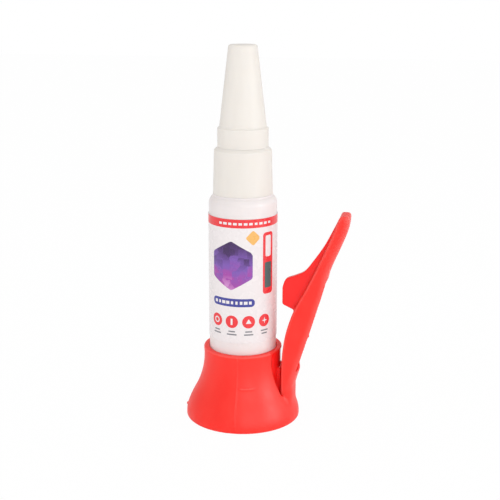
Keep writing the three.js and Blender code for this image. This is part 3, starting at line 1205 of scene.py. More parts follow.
    def slot_core(self, x: np.ndarray, y: np.ndarray, z: np.ndarray) -> np.ndarray:
        """Tells which places lie on the slot's walls or on the web in it.

        Args:
            x: Places along the lever's side.
            y: Places across it.
            z: Heights.

        Returns:
            True for each such place.
        """
        touch, near = 0.05, 0.1
        radius = np.hypot(x, y)
        lined = (self.slot_field(y, z) < touch) & (z < self.slot_top) & (x > 0)
        webbed = (np.abs(y) < self.root_web_half + near) & (x < self.root_face)
        within = (self.tables["bell"].read(radius, z) < -near) | webbed
        return lined & (radius > self.slot_wall - near) & within

    def fin_core(self, x: np.ndarray, y: np.ndarray, z: np.ndarray) -> np.ndarray:
        """Tells which places lie on the fin."""
        off, beside = self.fin_polish_and_light
        return (self.tables["inner"].read(x, z) > off) & (np.abs(y) < self.fin_half + beside)

    @staticmethod
    def half(
        name: str, verts: np.ndarray, normals: np.ndarray, painted_highlight: np.ndarray, faces: np.ndarray,
        finish: bpy.types.Material,
    ) -> bpy.types.Object:
        """Makes one side of the moulding, closed where the other side joins it.

        Args:
            name: Name of the piece.
            verts: Places on the whole skin.
            normals: Outward normals there.
            painted_highlight: How much painted highlight, a paler colour, each place takes.
            faces: Faces that belong to this side.
            finish: Material of the moulding.

        Returns:
            The piece.
        """
        used, local = np.unique(faces, return_inverse=True)
        piece = mesh_piece(name, verts[used], local.reshape(faces.shape))
        shell = bmesh.new()
        shell.from_mesh(piece.data)
        bmesh.ops.holes_fill(shell, edges=[e for e in shell.edges if e.is_boundary], sides=0)
        shell.to_mesh(piece.data)
        shell.free()
        piece.data.normals_split_custom_set_from_vertices(normals[used].tolist())
        shares = piece.data.attributes.new("painted_highlight", "FLOAT", "POINT")
        shares.data.foreach_set("value", painted_highlight[used].astype(np.float32))
        piece.data.materials.append(finish)
        return piece


# Geometry Nodes


class NodeGroup:
    """A Geometry Nodes tree under construction, with named inputs for its sizes."""

    def __init__(self, name: str) -> None:
        """Makes the bare tree.

        Args:
            name: Name of the tree.
        """
        self.tree = bpy.data.node_groups.new(name, "GeometryNodeTree")
        self.tree.interface.new_socket("Geometry", in_out="OUTPUT", socket_type="NodeSocketGeometry")
        self.entry = self.tree.nodes.new("NodeGroupInput")
        self.exit = self.tree.nodes.new("NodeGroupOutput")
        self.values: dict[str, object] = {}

    def size(self, name: str, value: float | int, kind: str = "NodeSocketFloat") -> bpy.types.NodeSocket:
        """Adds a named input.

        Args:
            name: Name of the input.
            value: Value that the piece is built with.
            kind: Blender's name for the socket type.

        Returns:
            The input, to link from.
        """
        socket = self.tree.interface.new_socket(name, in_out="INPUT", socket_type=kind)
        self.values[socket.identifier] = value
        return self.entry.outputs[name]

    def node(
        self, kind: str, links: dict[str | int, object] | None = None, **settings: object
    ) -> bpy.types.Node:
        """Adds a node.

        Args:
            kind: Blender's name for the node type.
            links: For each input, a socket to link from or a plain value.
            settings: Properties of the node.

        Returns:
            The new node.
        """
        made = self.tree.nodes.new(kind)
        for key, value in settings.items():
            setattr(made, key, value)
        for key, value in (links or {}).items():
            if isinstance(value, bpy.types.NodeSocket):
                self.tree.links.new(value, made.inputs[key])
            else:
                made.inputs[key].default_value = value
        return made

    def math(self, operation: str, a: object, b: object = 0.0) -> bpy.types.NodeSocket:
        """Adds a sum.

        Args:
            operation: Blender's name for the sum.
            a: First number or socket.
            b: Second number or socket.

        Returns:
            The result.
        """
        return self.node("ShaderNodeMath", {0: a, 1: b}, operation=operation).outputs[0]

    def make(self, name: str, geometry: bpy.types.NodeSocket, finish: bpy.types.Material) -> bpy.types.Object:
        """Ends the tree and turns its result into a plain mesh.

        Args:
            name: Name of the piece.
            geometry: What the tree gives.
            finish: Material of the piece.

        Returns:
            The piece.
        """
        real = self.node("GeometryNodeRealizeInstances", {"Geometry": geometry})
        dressed = self.node("GeometryNodeSetMaterial", {"Geometry": real.outputs[0], "Material": finish})
        self.tree.links.new(dressed.outputs[0], self.exit.inputs[0])
        piece = bpy.data.objects.new(name, bpy.data.meshes.new(name))
        bpy.context.scene.collection.objects.link(piece)
        modifier = piece.modifiers.new("shape", "NODES")
        modifier.node_group = self.tree
        for identifier, value in self.values.items():
            modifier[identifier] = value
        bpy.context.view_layer.update()
        seen = piece.evaluated_get(bpy.context.evaluated_depsgraph_get())
        mesh = bpy.data.meshes.new_from_object(seen)
        piece.modifiers.remove(modifier)
        piece.data = mesh
        mesh.name = name
        mesh.polygons.foreach_set("use_smooth", np.ones(len(mesh.polygons), bool))
        mesh.set_sharp_from_angle(angle=SHARP_ANGLE)
        return piece


@dataclass
class ScrewThread:
    """One screw ridge that winds round the axis."""

    name: str
    radius: float
    height: float
    base: float
    pitch: float
    windings: float
    start: float
    inward: bool = False
    crest: float = 0.35
    fade: float = 9.0
    thin_end: float = 0.12
    resolution: int = 72

    def build(self, finish: bpy.types.Material) -> bpy.types.Object:
        """Winds the ridge.

        Args:
            finish: Material of the ridge.

        Returns:
            The ridge, in place.
        """
        group = NodeGroup(self.name)
        radius = group.size("Root radius", self.radius * MM)
        height = group.size("Ridge height", self.height * MM)
        base = group.size("Ridge base", self.base * MM)
        pitch = group.size("Pitch", self.pitch * MM)
        windings = group.size("Windings", self.windings)
        start = group.size("Start height", self.start * MM)
        spiral = group.node(
            "GeometryNodeCurveSpiral",
            {
                "Resolution": self.resolution, "Rotations": windings,
                "Start Radius": radius, "End Radius": radius,
                "Height": group.math("MULTIPLY", pitch, windings), "Reverse": True,
            },
        )
        along = group.node("GeometryNodeSplineParameter").outputs["Factor"]
        off_middle = group.math("ABSOLUTE", group.math("SUBTRACT", along, 0.5))
        fade = group.math("MULTIPLY", group.math("SUBTRACT", 0.5, off_middle), self.fade)
        taper = group.math("MINIMUM", group.math("ADD", fade, self.thin_end), 1.0)
        upright = group.node("GeometryNodeSetCurveNormal", {"Curve": spiral.outputs[0]}, mode="Z_UP")
        thinned = group.node("GeometryNodeSetCurveRadius", {"Curve": upright.outputs[0], "Radius": taper})
        section = group.node(
            "GeometryNodeCurvePrimitiveQuadrilateral",
            {
                "Bottom Width": base, "Top Width": group.math("MULTIPLY", base, self.crest), "Offset": 0.0,
                "Height": group.math("MULTIPLY", height, 2.0),
            },
            mode="TRAPEZOID",
        )
        turn = (0, 0, math.pi / 2 if self.inward else -math.pi / 2)
        facing = group.node("GeometryNodeTransform", {"Geometry": section.outputs[0], "Rotation": turn})
        swept = group.node(
            "GeometryNodeCurveToMesh",
            {"Curve": thinned.outputs[0], "Profile Curve": facing.outputs[0], "Fill Caps": True},
        )
        lift = group.node("ShaderNodeCombineXYZ", {"Z": start})
        raised = group.node(
            "GeometryNodeTransform", {"Geometry": swept.outputs[0], "Translation": lift.outputs[0]}
        )
        return group.make(self.name, raised.outputs[0], finish)


# Bottle and label


@dataclass
class Bottle:
    """Blow-moulded bottle with a screw neck, and the glue in it."""

    radius: float = 13.0
    wall: float = 1.0
    base: float = 2.3
    height: float = 87.0
    shoulder: float = 3.5
    bead: float = 11.45
    bead_top: float = 89.47
    heel: float = 2.0
    push_up: float = 1.2
    standing: float = 9.5
    neck: float = 8.6
    neck_wall: float = 1.4
    neck_height: float = 14.5
    bead_round: float = 0.08
    neck_round: float = 0.5
    mouth_round: float = 0.35
    thread_height: float = 0.6
    thread_base: float = 1.3
    thread_windings: float = 3.2
    thread_start: float = 3.4
    glue_depth: float = 68.0
    glue_gap: float = 0.3
    glue_climb: tuple[float, float] = (0.4, 1.6)  # reach and drop

    def build(self) -> list[bpy.types.Object]:
        """Builds and dresses the bottle, its thread and the glue.

        Returns:
            The pieces.
        """
        shell = self.shell()
        shell.data.materials.append(MILKY_PLASTIC.material())
        dress(shell, Body.BOTTLE, "bottle_plastic", "bottle")
        start = self.base + self.height + self.thread_start
        thread = ScrewThread(
            "neck_thread", self.neck, self.thread_height, self.thread_base, THREAD_PITCH,
            self.thread_windings, start,
        ).build(shell.data.materials[0])
        dress(thread, Body.BOTTLE, "bottle_plastic")
        glue = self.glue()
        glue.data.materials.append(GLUE.material())
        dress(glue, Body.BOTTLE, "glue", "glue_fill")
        return [shell, thread, glue]

    def shell(self) -> bpy.types.Object:
        """Turns the bottle itself.

        Returns:
            The piece.
        """
        base, top, stand = self.base, self.base + self.height, self.standing
        inner, bore = self.radius - self.wall, self.neck - self.neck_wall
        mouth, under, floor = top + self.neck_height, top - self.wall, base + self.wall
        dome = bend((0, base + self.push_up), (stand / 2, base + self.push_up), (stand, base), steps=8)
        start = top - self.shoulder
        side = rounded([(stand, base, 0), (self.radius, base, self.heel), (self.radius, start, 0)], steps=8)
        middle = self.radius - self.shoulder
        turn = np.linspace(0, math.acos((self.bead - middle) / self.shoulder), 10)[1:, None]
        arc = (middle, start) + self.shoulder * np.hstack([np.cos(turn), np.sin(turn)])
        rest = rounded(
            [
                (*arc[-1], 0), (self.bead, self.bead_top, self.bead_round),
                (self.neck, self.bead_top, self.neck_round), (self.neck, mouth, self.mouth_round),
                (bore, mouth, self.mouth_round), (bore, under, self.neck_round),
                (inner, under, self.shoulder), (inner, floor, self.heel), (stand, floor, 0),
            ],
            steps=8,
        )
        outline = [dome[:-1], side, arc[:-1], rest, dome[::-1][1:] + (0, self.wall)]
        return turned("bottle_shell", np.vstack(outline), segments=192)

    def glue(self) -> bpy.types.Object:
        """Turns the glue, whose surface climbs at the wall.

        Returns:
            The piece.
        """
        radius = self.radius - self.wall - self.glue_gap
        low = self.base + self.wall + self.push_up + self.glue_gap
        high, (reach, drop) = low + self.glue_depth, self.glue_climb
        side = rounded([(0, low, 0), (radius, low, self.heel), (radius, high, 0)])
        surface = bend((radius, high), (radius - reach, high - drop), (0, high - drop), steps=10)
        return turned("glue_pool", np.vstack([side, surface[1:]]), segments=96)


class Mark(Enum):
    """Plain signs on the label's discs."""

    RING = 0
    BAR = 1
    WEDGE = 2
    CROSS = 3


class Ink(Enum):
    """Inks of the label, numbered as the materials of its print."""

    RED = 0
    NAVY = 1
    FACETS = 2
    AMBER = 3
    GREY = 4
    WHITE = 5
    SLATE = 6


@dataclass
class PrintRepeat:
    """Print that repeats on the label, laid out flat by Geometry Nodes and wrapped by them."""

    radius: float
    low: float
    front: float
    disc_lift: float = 0.02
    sign_lift: float = 0.04
    ring_bore: float = 0.62
    bar_width: float = 0.62
    cross_waist: float = 0.32
    line_pitch: float = 0.4
    line_columns: int = 8
    shortest_line: float = 0.55

    def finish(
        self, group: NodeGroup, flat: bpy.types.NodeSocket, name: str, ink: bpy.types.Material
    ) -> bpy.types.Object:
        """Wraps flat geometry round the bottle.

        Args:
            group: Tree that the geometry comes from.
            flat: Geometry, right and up from the print's lower middle, in metres.
            name: Name of the piece.
            ink: Material of the print.

        Returns:
            The piece.
        """
        radius = group.size("Label radius", self.radius * MM)
        low = group.size("Label foot", self.low * MM)
        front = group.size("Front angle", self.front)
        real = group.node("GeometryNodeRealizeInstances", {"Geometry": flat})
        place = group.node("ShaderNodeSeparateXYZ", {0: group.node("GeometryNodeInputPosition").outputs[0]})
        angle = group.math("ADD", group.math("DIVIDE", place.outputs["X"], radius), front)
        reach = group.math("ADD", radius, place.outputs["Z"])
        wrapped = group.node(
            "ShaderNodeCombineXYZ",
            {
                "X": group.math("MULTIPLY", reach, group.math("COSINE", angle)),
                "Y": group.math("MULTIPLY", reach, group.math("SINE", angle)),
                "Z": group.math("ADD", place.outputs["Y"], low),
            },
        )
        moved = group.node(
            "GeometryNodeSetPosition", {"Geometry": real.outputs[0], "Position": wrapped.outputs[0]}
        )
        return group.make(name, moved.outputs[0], ink)

    @staticmethod
    def fine(group: NodeGroup, curve: bpy.types.NodeSocket) -> bpy.types.NodeSocket:
        """Fills a flat curve with faces small enough to wrap.

        Args:
            group: Tree to work in.
            curve: Closed flat curve.

        Returns:
            The filled shape.
        """
        filled = group.node("GeometryNodeFillCurve", {"Curve": curve})
        faces = group.node("GeometryNodeTriangulate", {"Mesh": filled.outputs[0]})
        return group.node("GeometryNodeSubdivideMesh", {"Mesh": faces.outputs[0], "Level": 2}).outputs[0]

    @staticmethod
    def row(
        group: NodeGroup, count: int, left: float, up: float, pitch: float, lift: float
    ) -> bpy.types.NodeSocket:
        """Lays out a level row of points.

        Args:
            group: Tree to work in.
            count: Number of points.
            left: Place of the first one.
            up: Height of the row on the print.
            pitch: Distance between points.
            lift: Height above the film.

        Returns:
            The points.
        """
        number = group.size("Count", count, "NodeSocketInt")
        step = group.node("ShaderNodeCombineXYZ", {"X": group.size("Pitch", pitch * MM)})
        start = group.node(
            "ShaderNodeCombineXYZ",
            {
                "X": group.size("Left", left * MM), "Y": group.size("Up", up * MM),
                "Z": group.size("Lift", lift * MM),
            },
        )
        line = group.node(
            "GeometryNodeMeshLine",
            {"Count": number, "Start Location": start.outputs[0], "Offset": step.outputs[0]},
        )
        return line.outputs[0]

    def discs(
        self, left: float, up: float, pitch: float, radius: float, ink: bpy.types.Material
    ) -> bpy.types.Object:
        """Prints a row of four discs.

        Args:
            left: Middle of the first disc.
            up: Height of the row.
            pitch: Distance between discs.
            radius: Radius of a disc.
            ink: Material of the print.

        Returns:
            The discs.
        """
        group = NodeGroup("label_discs")
        size = group.size("Disc radius", radius * MM)
        circle = group.node("GeometryNodeCurvePrimitiveCircle", {"Resolution": 40, "Radius": size})
        points = self.row(group, len(Mark), left, up, pitch, self.disc_lift)
        disc = self.fine(group, circle.outputs[0])
        placed = group.node("GeometryNodeInstanceOnPoints", {"Points": points, "Instance": disc})
        return self.finish(group, placed.outputs[0], "label_discs", ink)

    def marks(
        self, left: float, up: float, pitch: float, radius: float, ink: bpy.types.Material
    ) -> bpy.types.Object:
        """Prints a plain sign on each disc.

        Args:
            left: Middle of the first sign.
            up: Height of the row.
            pitch: Distance between signs.
            radius: Radius of a sign.
            ink: Material of the print.

        Returns:
            The signs.
        """
        group = NodeGroup("label_signs")
        size = group.size("Sign radius", radius * MM)
        outer = group.node("GeometryNodeCurvePrimitiveCircle", {"Resolution": 32, "Radius": size})
        bore = group.math("MULTIPLY", size, self.ring_bore)
        inner = group.node("GeometryNodeCurvePrimitiveCircle", {"Resolution": 32, "Radius": bore})
        both = group.node("GeometryNodeJoinGeometry")
        for curve in (inner, outer):
            group.tree.links.new(curve.outputs[0], both.inputs[0])
        width, height = group.math("MULTIPLY", size, self.bar_width), group.math("MULTIPLY", size, 2.0)
        bar = group.node("GeometryNodeCurvePrimitiveQuadrilateral", {"Width": width, "Height": height})
        wedge = group.node("GeometryNodeCurvePrimitiveCircle", {"Resolution": 3, "Radius": size})
        waist = group.math("MULTIPLY", size, self.cross_waist)
        cross = group.node(
            "GeometryNodeCurveStar", {"Points": 4, "Inner Radius": waist, "Outer Radius": size}
        )
        quarter = (0, 0, math.pi / 2)
        upright = group.node("GeometryNodeTransform", {"Geometry": wedge.outputs[0], "Rotation": quarter})
        shapes = {Mark.RING: both, Mark.BAR: bar, Mark.WEDGE: upright, Mark.CROSS: cross}
        choice = group.node("GeometryNodeGeometryToInstance")
        for mark in reversed(Mark):
            group.tree.links.new(self.fine(group, shapes[mark].outputs[0]), choice.inputs[0])
        points = self.row(group, len(Mark), left, up, pitch, self.sign_lift)
        placed = group.node(
            "GeometryNodeInstanceOnPoints",
            {
                "Points": points, "Instance": choice.outputs[0], "Pick Instance": True,
                "Instance Index": group.node("GeometryNodeInputIndex").outputs[0],
            },
        )
        return self.finish(group, placed.outputs[0], "label_signs", ink)

    def lines(
        self, name: str, middle: float, up: float, size: tuple[float, float], count: tuple[int, int],
        bar: tuple[float, float], seed: int, ink: bpy.types.Material,
    ) -> bpy.types.Object:
        """Prints rows of short bars of uneven length.

        Args:
            name: Name of the piece.
            middle: Middle of the block, across.
            up: Middle of the block, up.
            size: Distance from first to last bar, across and up.
            count: Bars across and rows.
            bar: Longest length and thickness of a bar.
            seed: Seed of the uneven lengths.
            ink: Material of the print.

        Returns:
            The bars.
        """
        group = NodeGroup(name)
        grid = group.node(
            "GeometryNodeMeshGrid",
            {
                "Size X": group.size("Block width", size[0] * MM),
                "Size Y": group.size("Block height", size[1] * MM),
                "Vertices X": group.size("Bars across", count[0], "NodeSocketInt"),
                "Vertices Y": group.size("Rows", count[1], "NodeSocketInt"),
            },
        )
        place = group.node("ShaderNodeCombineXYZ", {"X": middle * MM, "Y": up * MM, "Z": self.sign_lift * MM})
        points = group.node(
            "GeometryNodeTransform", {"Geometry": grid.outputs[0], "Translation": place.outputs[0]}
        )
        shape = group.node(
            "GeometryNodeMeshGrid",
            {
                "Size X": group.size("Bar length", bar[0] * MM),
                "Size Y": group.size("Bar thickness", bar[1] * MM),
                "Vertices X": max(self.line_columns, math.ceil(bar[0] / self.line_pitch)), "Vertices Y": 2,
            },
        )
        uneven = group.node(
            "FunctionNodeRandomValue",
            {"Min": self.shortest_line, "Max": 1.0, "Seed": group.size("Seed", seed, "NodeSocketInt")},
        )
        scale = group.node("ShaderNodeCombineXYZ", {"X": uneven.outputs["Value"], "Y": 1.0, "Z": 1.0})
        placed = group.node(
            "GeometryNodeInstanceOnPoints",
            {"Points": points.outputs[0], "Instance": shape.outputs[0], "Scale": scale.outputs[0]},
        )
        return self.finish(group, placed.outputs[0], name, ink)


@dataclass
class WrapLabel:
    """Film wrapped round the bottle with a plain print, drawn flat and then wrapped."""

    inner: float = 13.1
    outer: float = 13.25
    low: float = 33.3
    high: float = 81.8
    seam: float = 1.2
    front: float = math.radians(-79.0)
    lift: float = 0.012
    pitch: float = 0.9
    columns: int = 241
    band: float = 3.3

    def wrap(self, flat: np.ndarray, layer: int) -> np.ndarray:
        """Wraps flat places round the bottle.

        Args:
            flat: Places on the print, right and up from its lower middle as seen from the front.
            layer: Ink layers that lie below.

        Returns:
            Places in space.
        """
        radius = self.outer + self.lift * layer
        angle = self.front + flat[:, 0] / self.outer
        return np.column_stack([radius * np.cos(angle), radius * np.sin(angle), self.low + flat[:, 1]])

    def film(self) -> bpy.types.Object:
        """Makes the bare film, which stops short of itself at the seam.

        Returns:
            The film.
        """
        gap = math.asin(self.seam / 2 / self.inner)
        angles = np.linspace(-math.pi + gap, math.pi - gap, self.columns)
        ring = np.column_stack([np.cos(angles), np.sin(angles)])
        inner, outer, low, high = self.inner, self.outer, self.low, self.high
        edges = [(outer, low), (outer, high), (inner, high), (inner, low)]
        rows = [np.column_stack([radius * ring, np.full(self.columns, height)]) for radius, height in edges]
        index = np.arange(len(rows) * self.columns).reshape(len(rows), self.columns)
        faces = []
        for a, b in zip(index, np.roll(index, -1, axis=0)):
            faces += np.stack([a[:-1], a[1:], b[1:], b[:-1]], 1).tolist()
        faces += [index[::-1, 0].tolist(), index[:, -1].tolist()]
        film = mesh_piece("label_film", np.vstack(rows), faces)
        film.data.set_sharp_from_angle(angle=SHARP_ANGLE)
        return film

    def patch(self, outline: np.ndarray, *holes: np.ndarray) -> tuple[np.ndarray, np.ndarray]:
        """Fills a flat outline with faces small enough to wrap.

        Args:
            outline: Edge of the patch.
            holes: Edges of holes in it.

        Returns:
            Flat places and the corner numbers of triangles.
        """
        rings = [self.dense(ring) for ring in (outline, *holes)]
        low, high = outline.min(0), outline.max(0)
        ways = [np.arange(a, b, self.pitch) for a, b in zip(low, high)]
        grid = np.stack(np.meshgrid(*ways), -1).reshape(-1, 2)
        points, edges, count = [], [], 0
        for ring in rings:
            points.append(ring)
            numbers = np.arange(count, count + len(ring))
            edges += np.stack([numbers, np.roll(numbers, -1)], 1).tolist()
            count += len(ring)
        kept = self.within(rings, grid)
        crowded = 0.3 * self.pitch
        for ring in rings:
            kept &= ~(np.linalg.norm(grid[:, None] - ring[None], axis=2).min(1) < crowded)
        points.append(grid[kept])
        flat = [Vector(p) for p in np.vstack(points)]
        verts, _, faces, *_ = delaunay_2d_cdt(flat, edges, [], 0, 1e-6)
        places = np.array([tuple(v) for v in verts])
        corners = np.array([f for f in faces if len(f) == 3])
        return places, corners[self.within(rings, places[corners].mean(1))]

    def dense(self, ring: np.ndarray) -> np.ndarray:
        """Adds points to the long sides of an outline.

        Args:
            ring: Closed outline.

        Returns:
            The outline, with no side longer than the pitch.
        """
        sides = []
        for a, b in zip(ring, np.roll(ring, -1, axis=0)):
            count = max(1, math.ceil(np.linalg.norm(b - a) / self.pitch))
            sides.append(a + (b - a) * np.arange(count)[:, None] / count)
        return np.vstack(sides)

    @staticmethod
    def within(rings: Sequence[np.ndarray], places: np.ndarray) -> np.ndarray:
        """Tells which places lie inside an odd number of outlines.

        Args:
            rings: Closed outlines.
            places: Flat places, one row each.

        Returns:
            True for each such place.
        """
        found = np.zeros(len(places), bool)
        for ring in rings:
            found ^= inside(ring, places[:, 0], places[:, 1])
        return found

    @staticmethod
    def slab(left: float, bottom: float, right: float, top: float, corner: float = 0.0) -> np.ndarray:
        """Draws an upright rectangle with rounded corners.

        Args:
            left: Left side.
            bottom: Lower side.
            right: Right side.
            top: Upper side.
            corner: Radius of the corners.

        Returns:
            The outline.
        """
        middle = (left + right) / 2
        half = [(middle, bottom, 0), (right, bottom, corner), (right, top, corner), (middle, top, 0)]
        other = [(middle, top, 0), (left, top, corner), (left, bottom, corner), (middle, bottom, 0)]
        return np.vstack([rounded(half, steps=8)[:-1], rounded(other, steps=8)[:-1]])

    @staticmethod
    def star(
        across: float, up: float, radius: float, sides: int, corner: float, turn: float = 0.0
    ) -> np.ndarray:
        """Draws a regular outline with rounded corners.

        Args:
            across: Place of its middle, across.
            up: Place of its middle, up.
            radius: Distance of the corners from the middle.
            sides: Number of sides.
            corner: Radius of the corners.
            turn: Angle of the first corner.

        Returns:
            The outline.
        """
        angles = turn + np.arange(-1, sides + 2) * 2 * math.pi / sides
        marks = [(across + radius * math.cos(a), up + radius * math.sin(a), corner) for a in angles]
        return rounded(marks)[1:-1]

    def print_piece(
        self, name: str, shapes: Sequence[tuple[Ink, int, Sequence[np.ndarray]]],
        inks: dict[Ink, bpy.types.Material],
    ) -> bpy.types.Object:
        """Makes the print as faces just above the film.

        Args:
            name: Name of the piece.
            shapes: For each shape its ink, its layer, and its outline with holes.
            inks: Material of each ink.

        Returns:
            The piece.
        """
        verts, faces, colors, count = [], [], [], 0
        for ink, layer, rings in shapes:
            flat, corners = self.patch(*rings)
            verts.append(self.wrap(flat, layer))
            faces += (corners + count).tolist()
            colors += [ink.value] * len(corners)
            count += len(flat)
        piece = mesh_piece(name, np.vstack(verts), faces)
        for ink in Ink:
            piece.data.materials.append(inks[ink])
        piece.data.polygons.foreach_set("material_index", np.array(colors, np.int32))
        return piece

    def build(self) -> list[bpy.types.Object]:
        """Builds and dresses the film and its print.

        Returns:
            The pieces.
        """
        film = self.film()
        film.data.materials.append(LABEL_FILM.material())
        dress(film, Body.BOTTLE, "label_film", "label")
        shades = (
            (0.02, 0.012, 0.03), (0.06, 0.02, 0.12), (0.2, 0.09, 0.42), (0.36, 0.06, 0.36), (0.7, 0.35, 0.66)
        )
        inks = {
            Ink.RED: PrintedInk("print_red", (0.80, 0.03, 0.038)).material(),
            Ink.NAVY: PrintedInk("print_navy", (0.045, 0.05, 0.30)).material(),
            Ink.FACETS: FacetInk("print_violet_facets", shades).material(),
            Ink.AMBER: PrintedInk("print_amber", (0.83, 0.45, 0.12)).material(),
            Ink.GREY: PrintedInk("print_grey", (0.2, 0.2, 0.22)).material(),
            Ink.WHITE: PrintedInk("print_white", (0.81, 0.772, 0.775)).material(),
            Ink.SLATE: PrintedInk("print_slate", (0.05, 0.12, 0.12)).material(),
        }
        around = 2 * math.pi * self.outer
        start = -(math.pi + self.front) * self.outer + self.seam / 2
        end = start + around - self.seam
        top = self.high - self.low
        shapes = [
            (Ink.RED, 1, [self.slab(start, top - self.band, end, top)]),
            (Ink.FACETS, 1, [self.star(-4.6, 30.6, 9.6, 6, 1.4, math.pi / 6)]),
            (Ink.RED, 1, [self.slab(8.0, 19.0, 13.2, 43.0, 2.4)]),
            (Ink.WHITE, 2, [self.slab(9.2, 33.6, 12.0, 41.8, 1.3)]),
            (Ink.SLATE, 2, [self.slab(8.9, 21.4, 12.3, 31.4, 0.5)]),
            (Ink.NAVY, 1, [self.slab(-13.0, 14.6, 4.6, 17.8, 1.5)]),
            (Ink.AMBER, 1, [self.star(3.9, 41.4, 3.0, 4, 0.7)]),
            (Ink.NAVY, 1, [self.slab(24.0, 4.0, 46.0, 42.4, 2.0)]),
            (Ink.WHITE, 2, [self.slab(26.0, 6.0, 44.0, 34.6, 1.2)]),
        ]
        repeat = PrintRepeat(self.outer, self.low, self.front)
        red, grey, white = inks[Ink.RED], inks[Ink.GREY], inks[Ink.WHITE]
        pieces = [
            self.print_piece("label_print", shapes, inks),
            repeat.discs(-11.0, 8.6, 6.6, 2.5, red),
            repeat.marks(-11.0, 8.6, 6.6, 1.25, white),
            repeat.lines("label_captions", -1.1, 4.1, (19.8, 1.2), (4, 2), (4.2, 0.5), 4, grey),
            repeat.lines("label_bar_lines", -4.2, 16.2, (14.0, 0.0), (9, 1), (1.5, 1.2), 9, white),
            repeat.lines("label_band_lines", 1.0, top - 1.7, (20.0, 0.0), (11, 1), (1.6, 0.9), 5, white),
            repeat.lines("label_back_lines", 35.0, 20.0, (0.0, 23.0), (1, 13), (15.0, 0.6), 2, grey),
        ]
        for piece in pieces:
            dress(piece, Body.BOTTLE, "label_film")
        return [film, *pieces]


# Nozzle, seal and cap


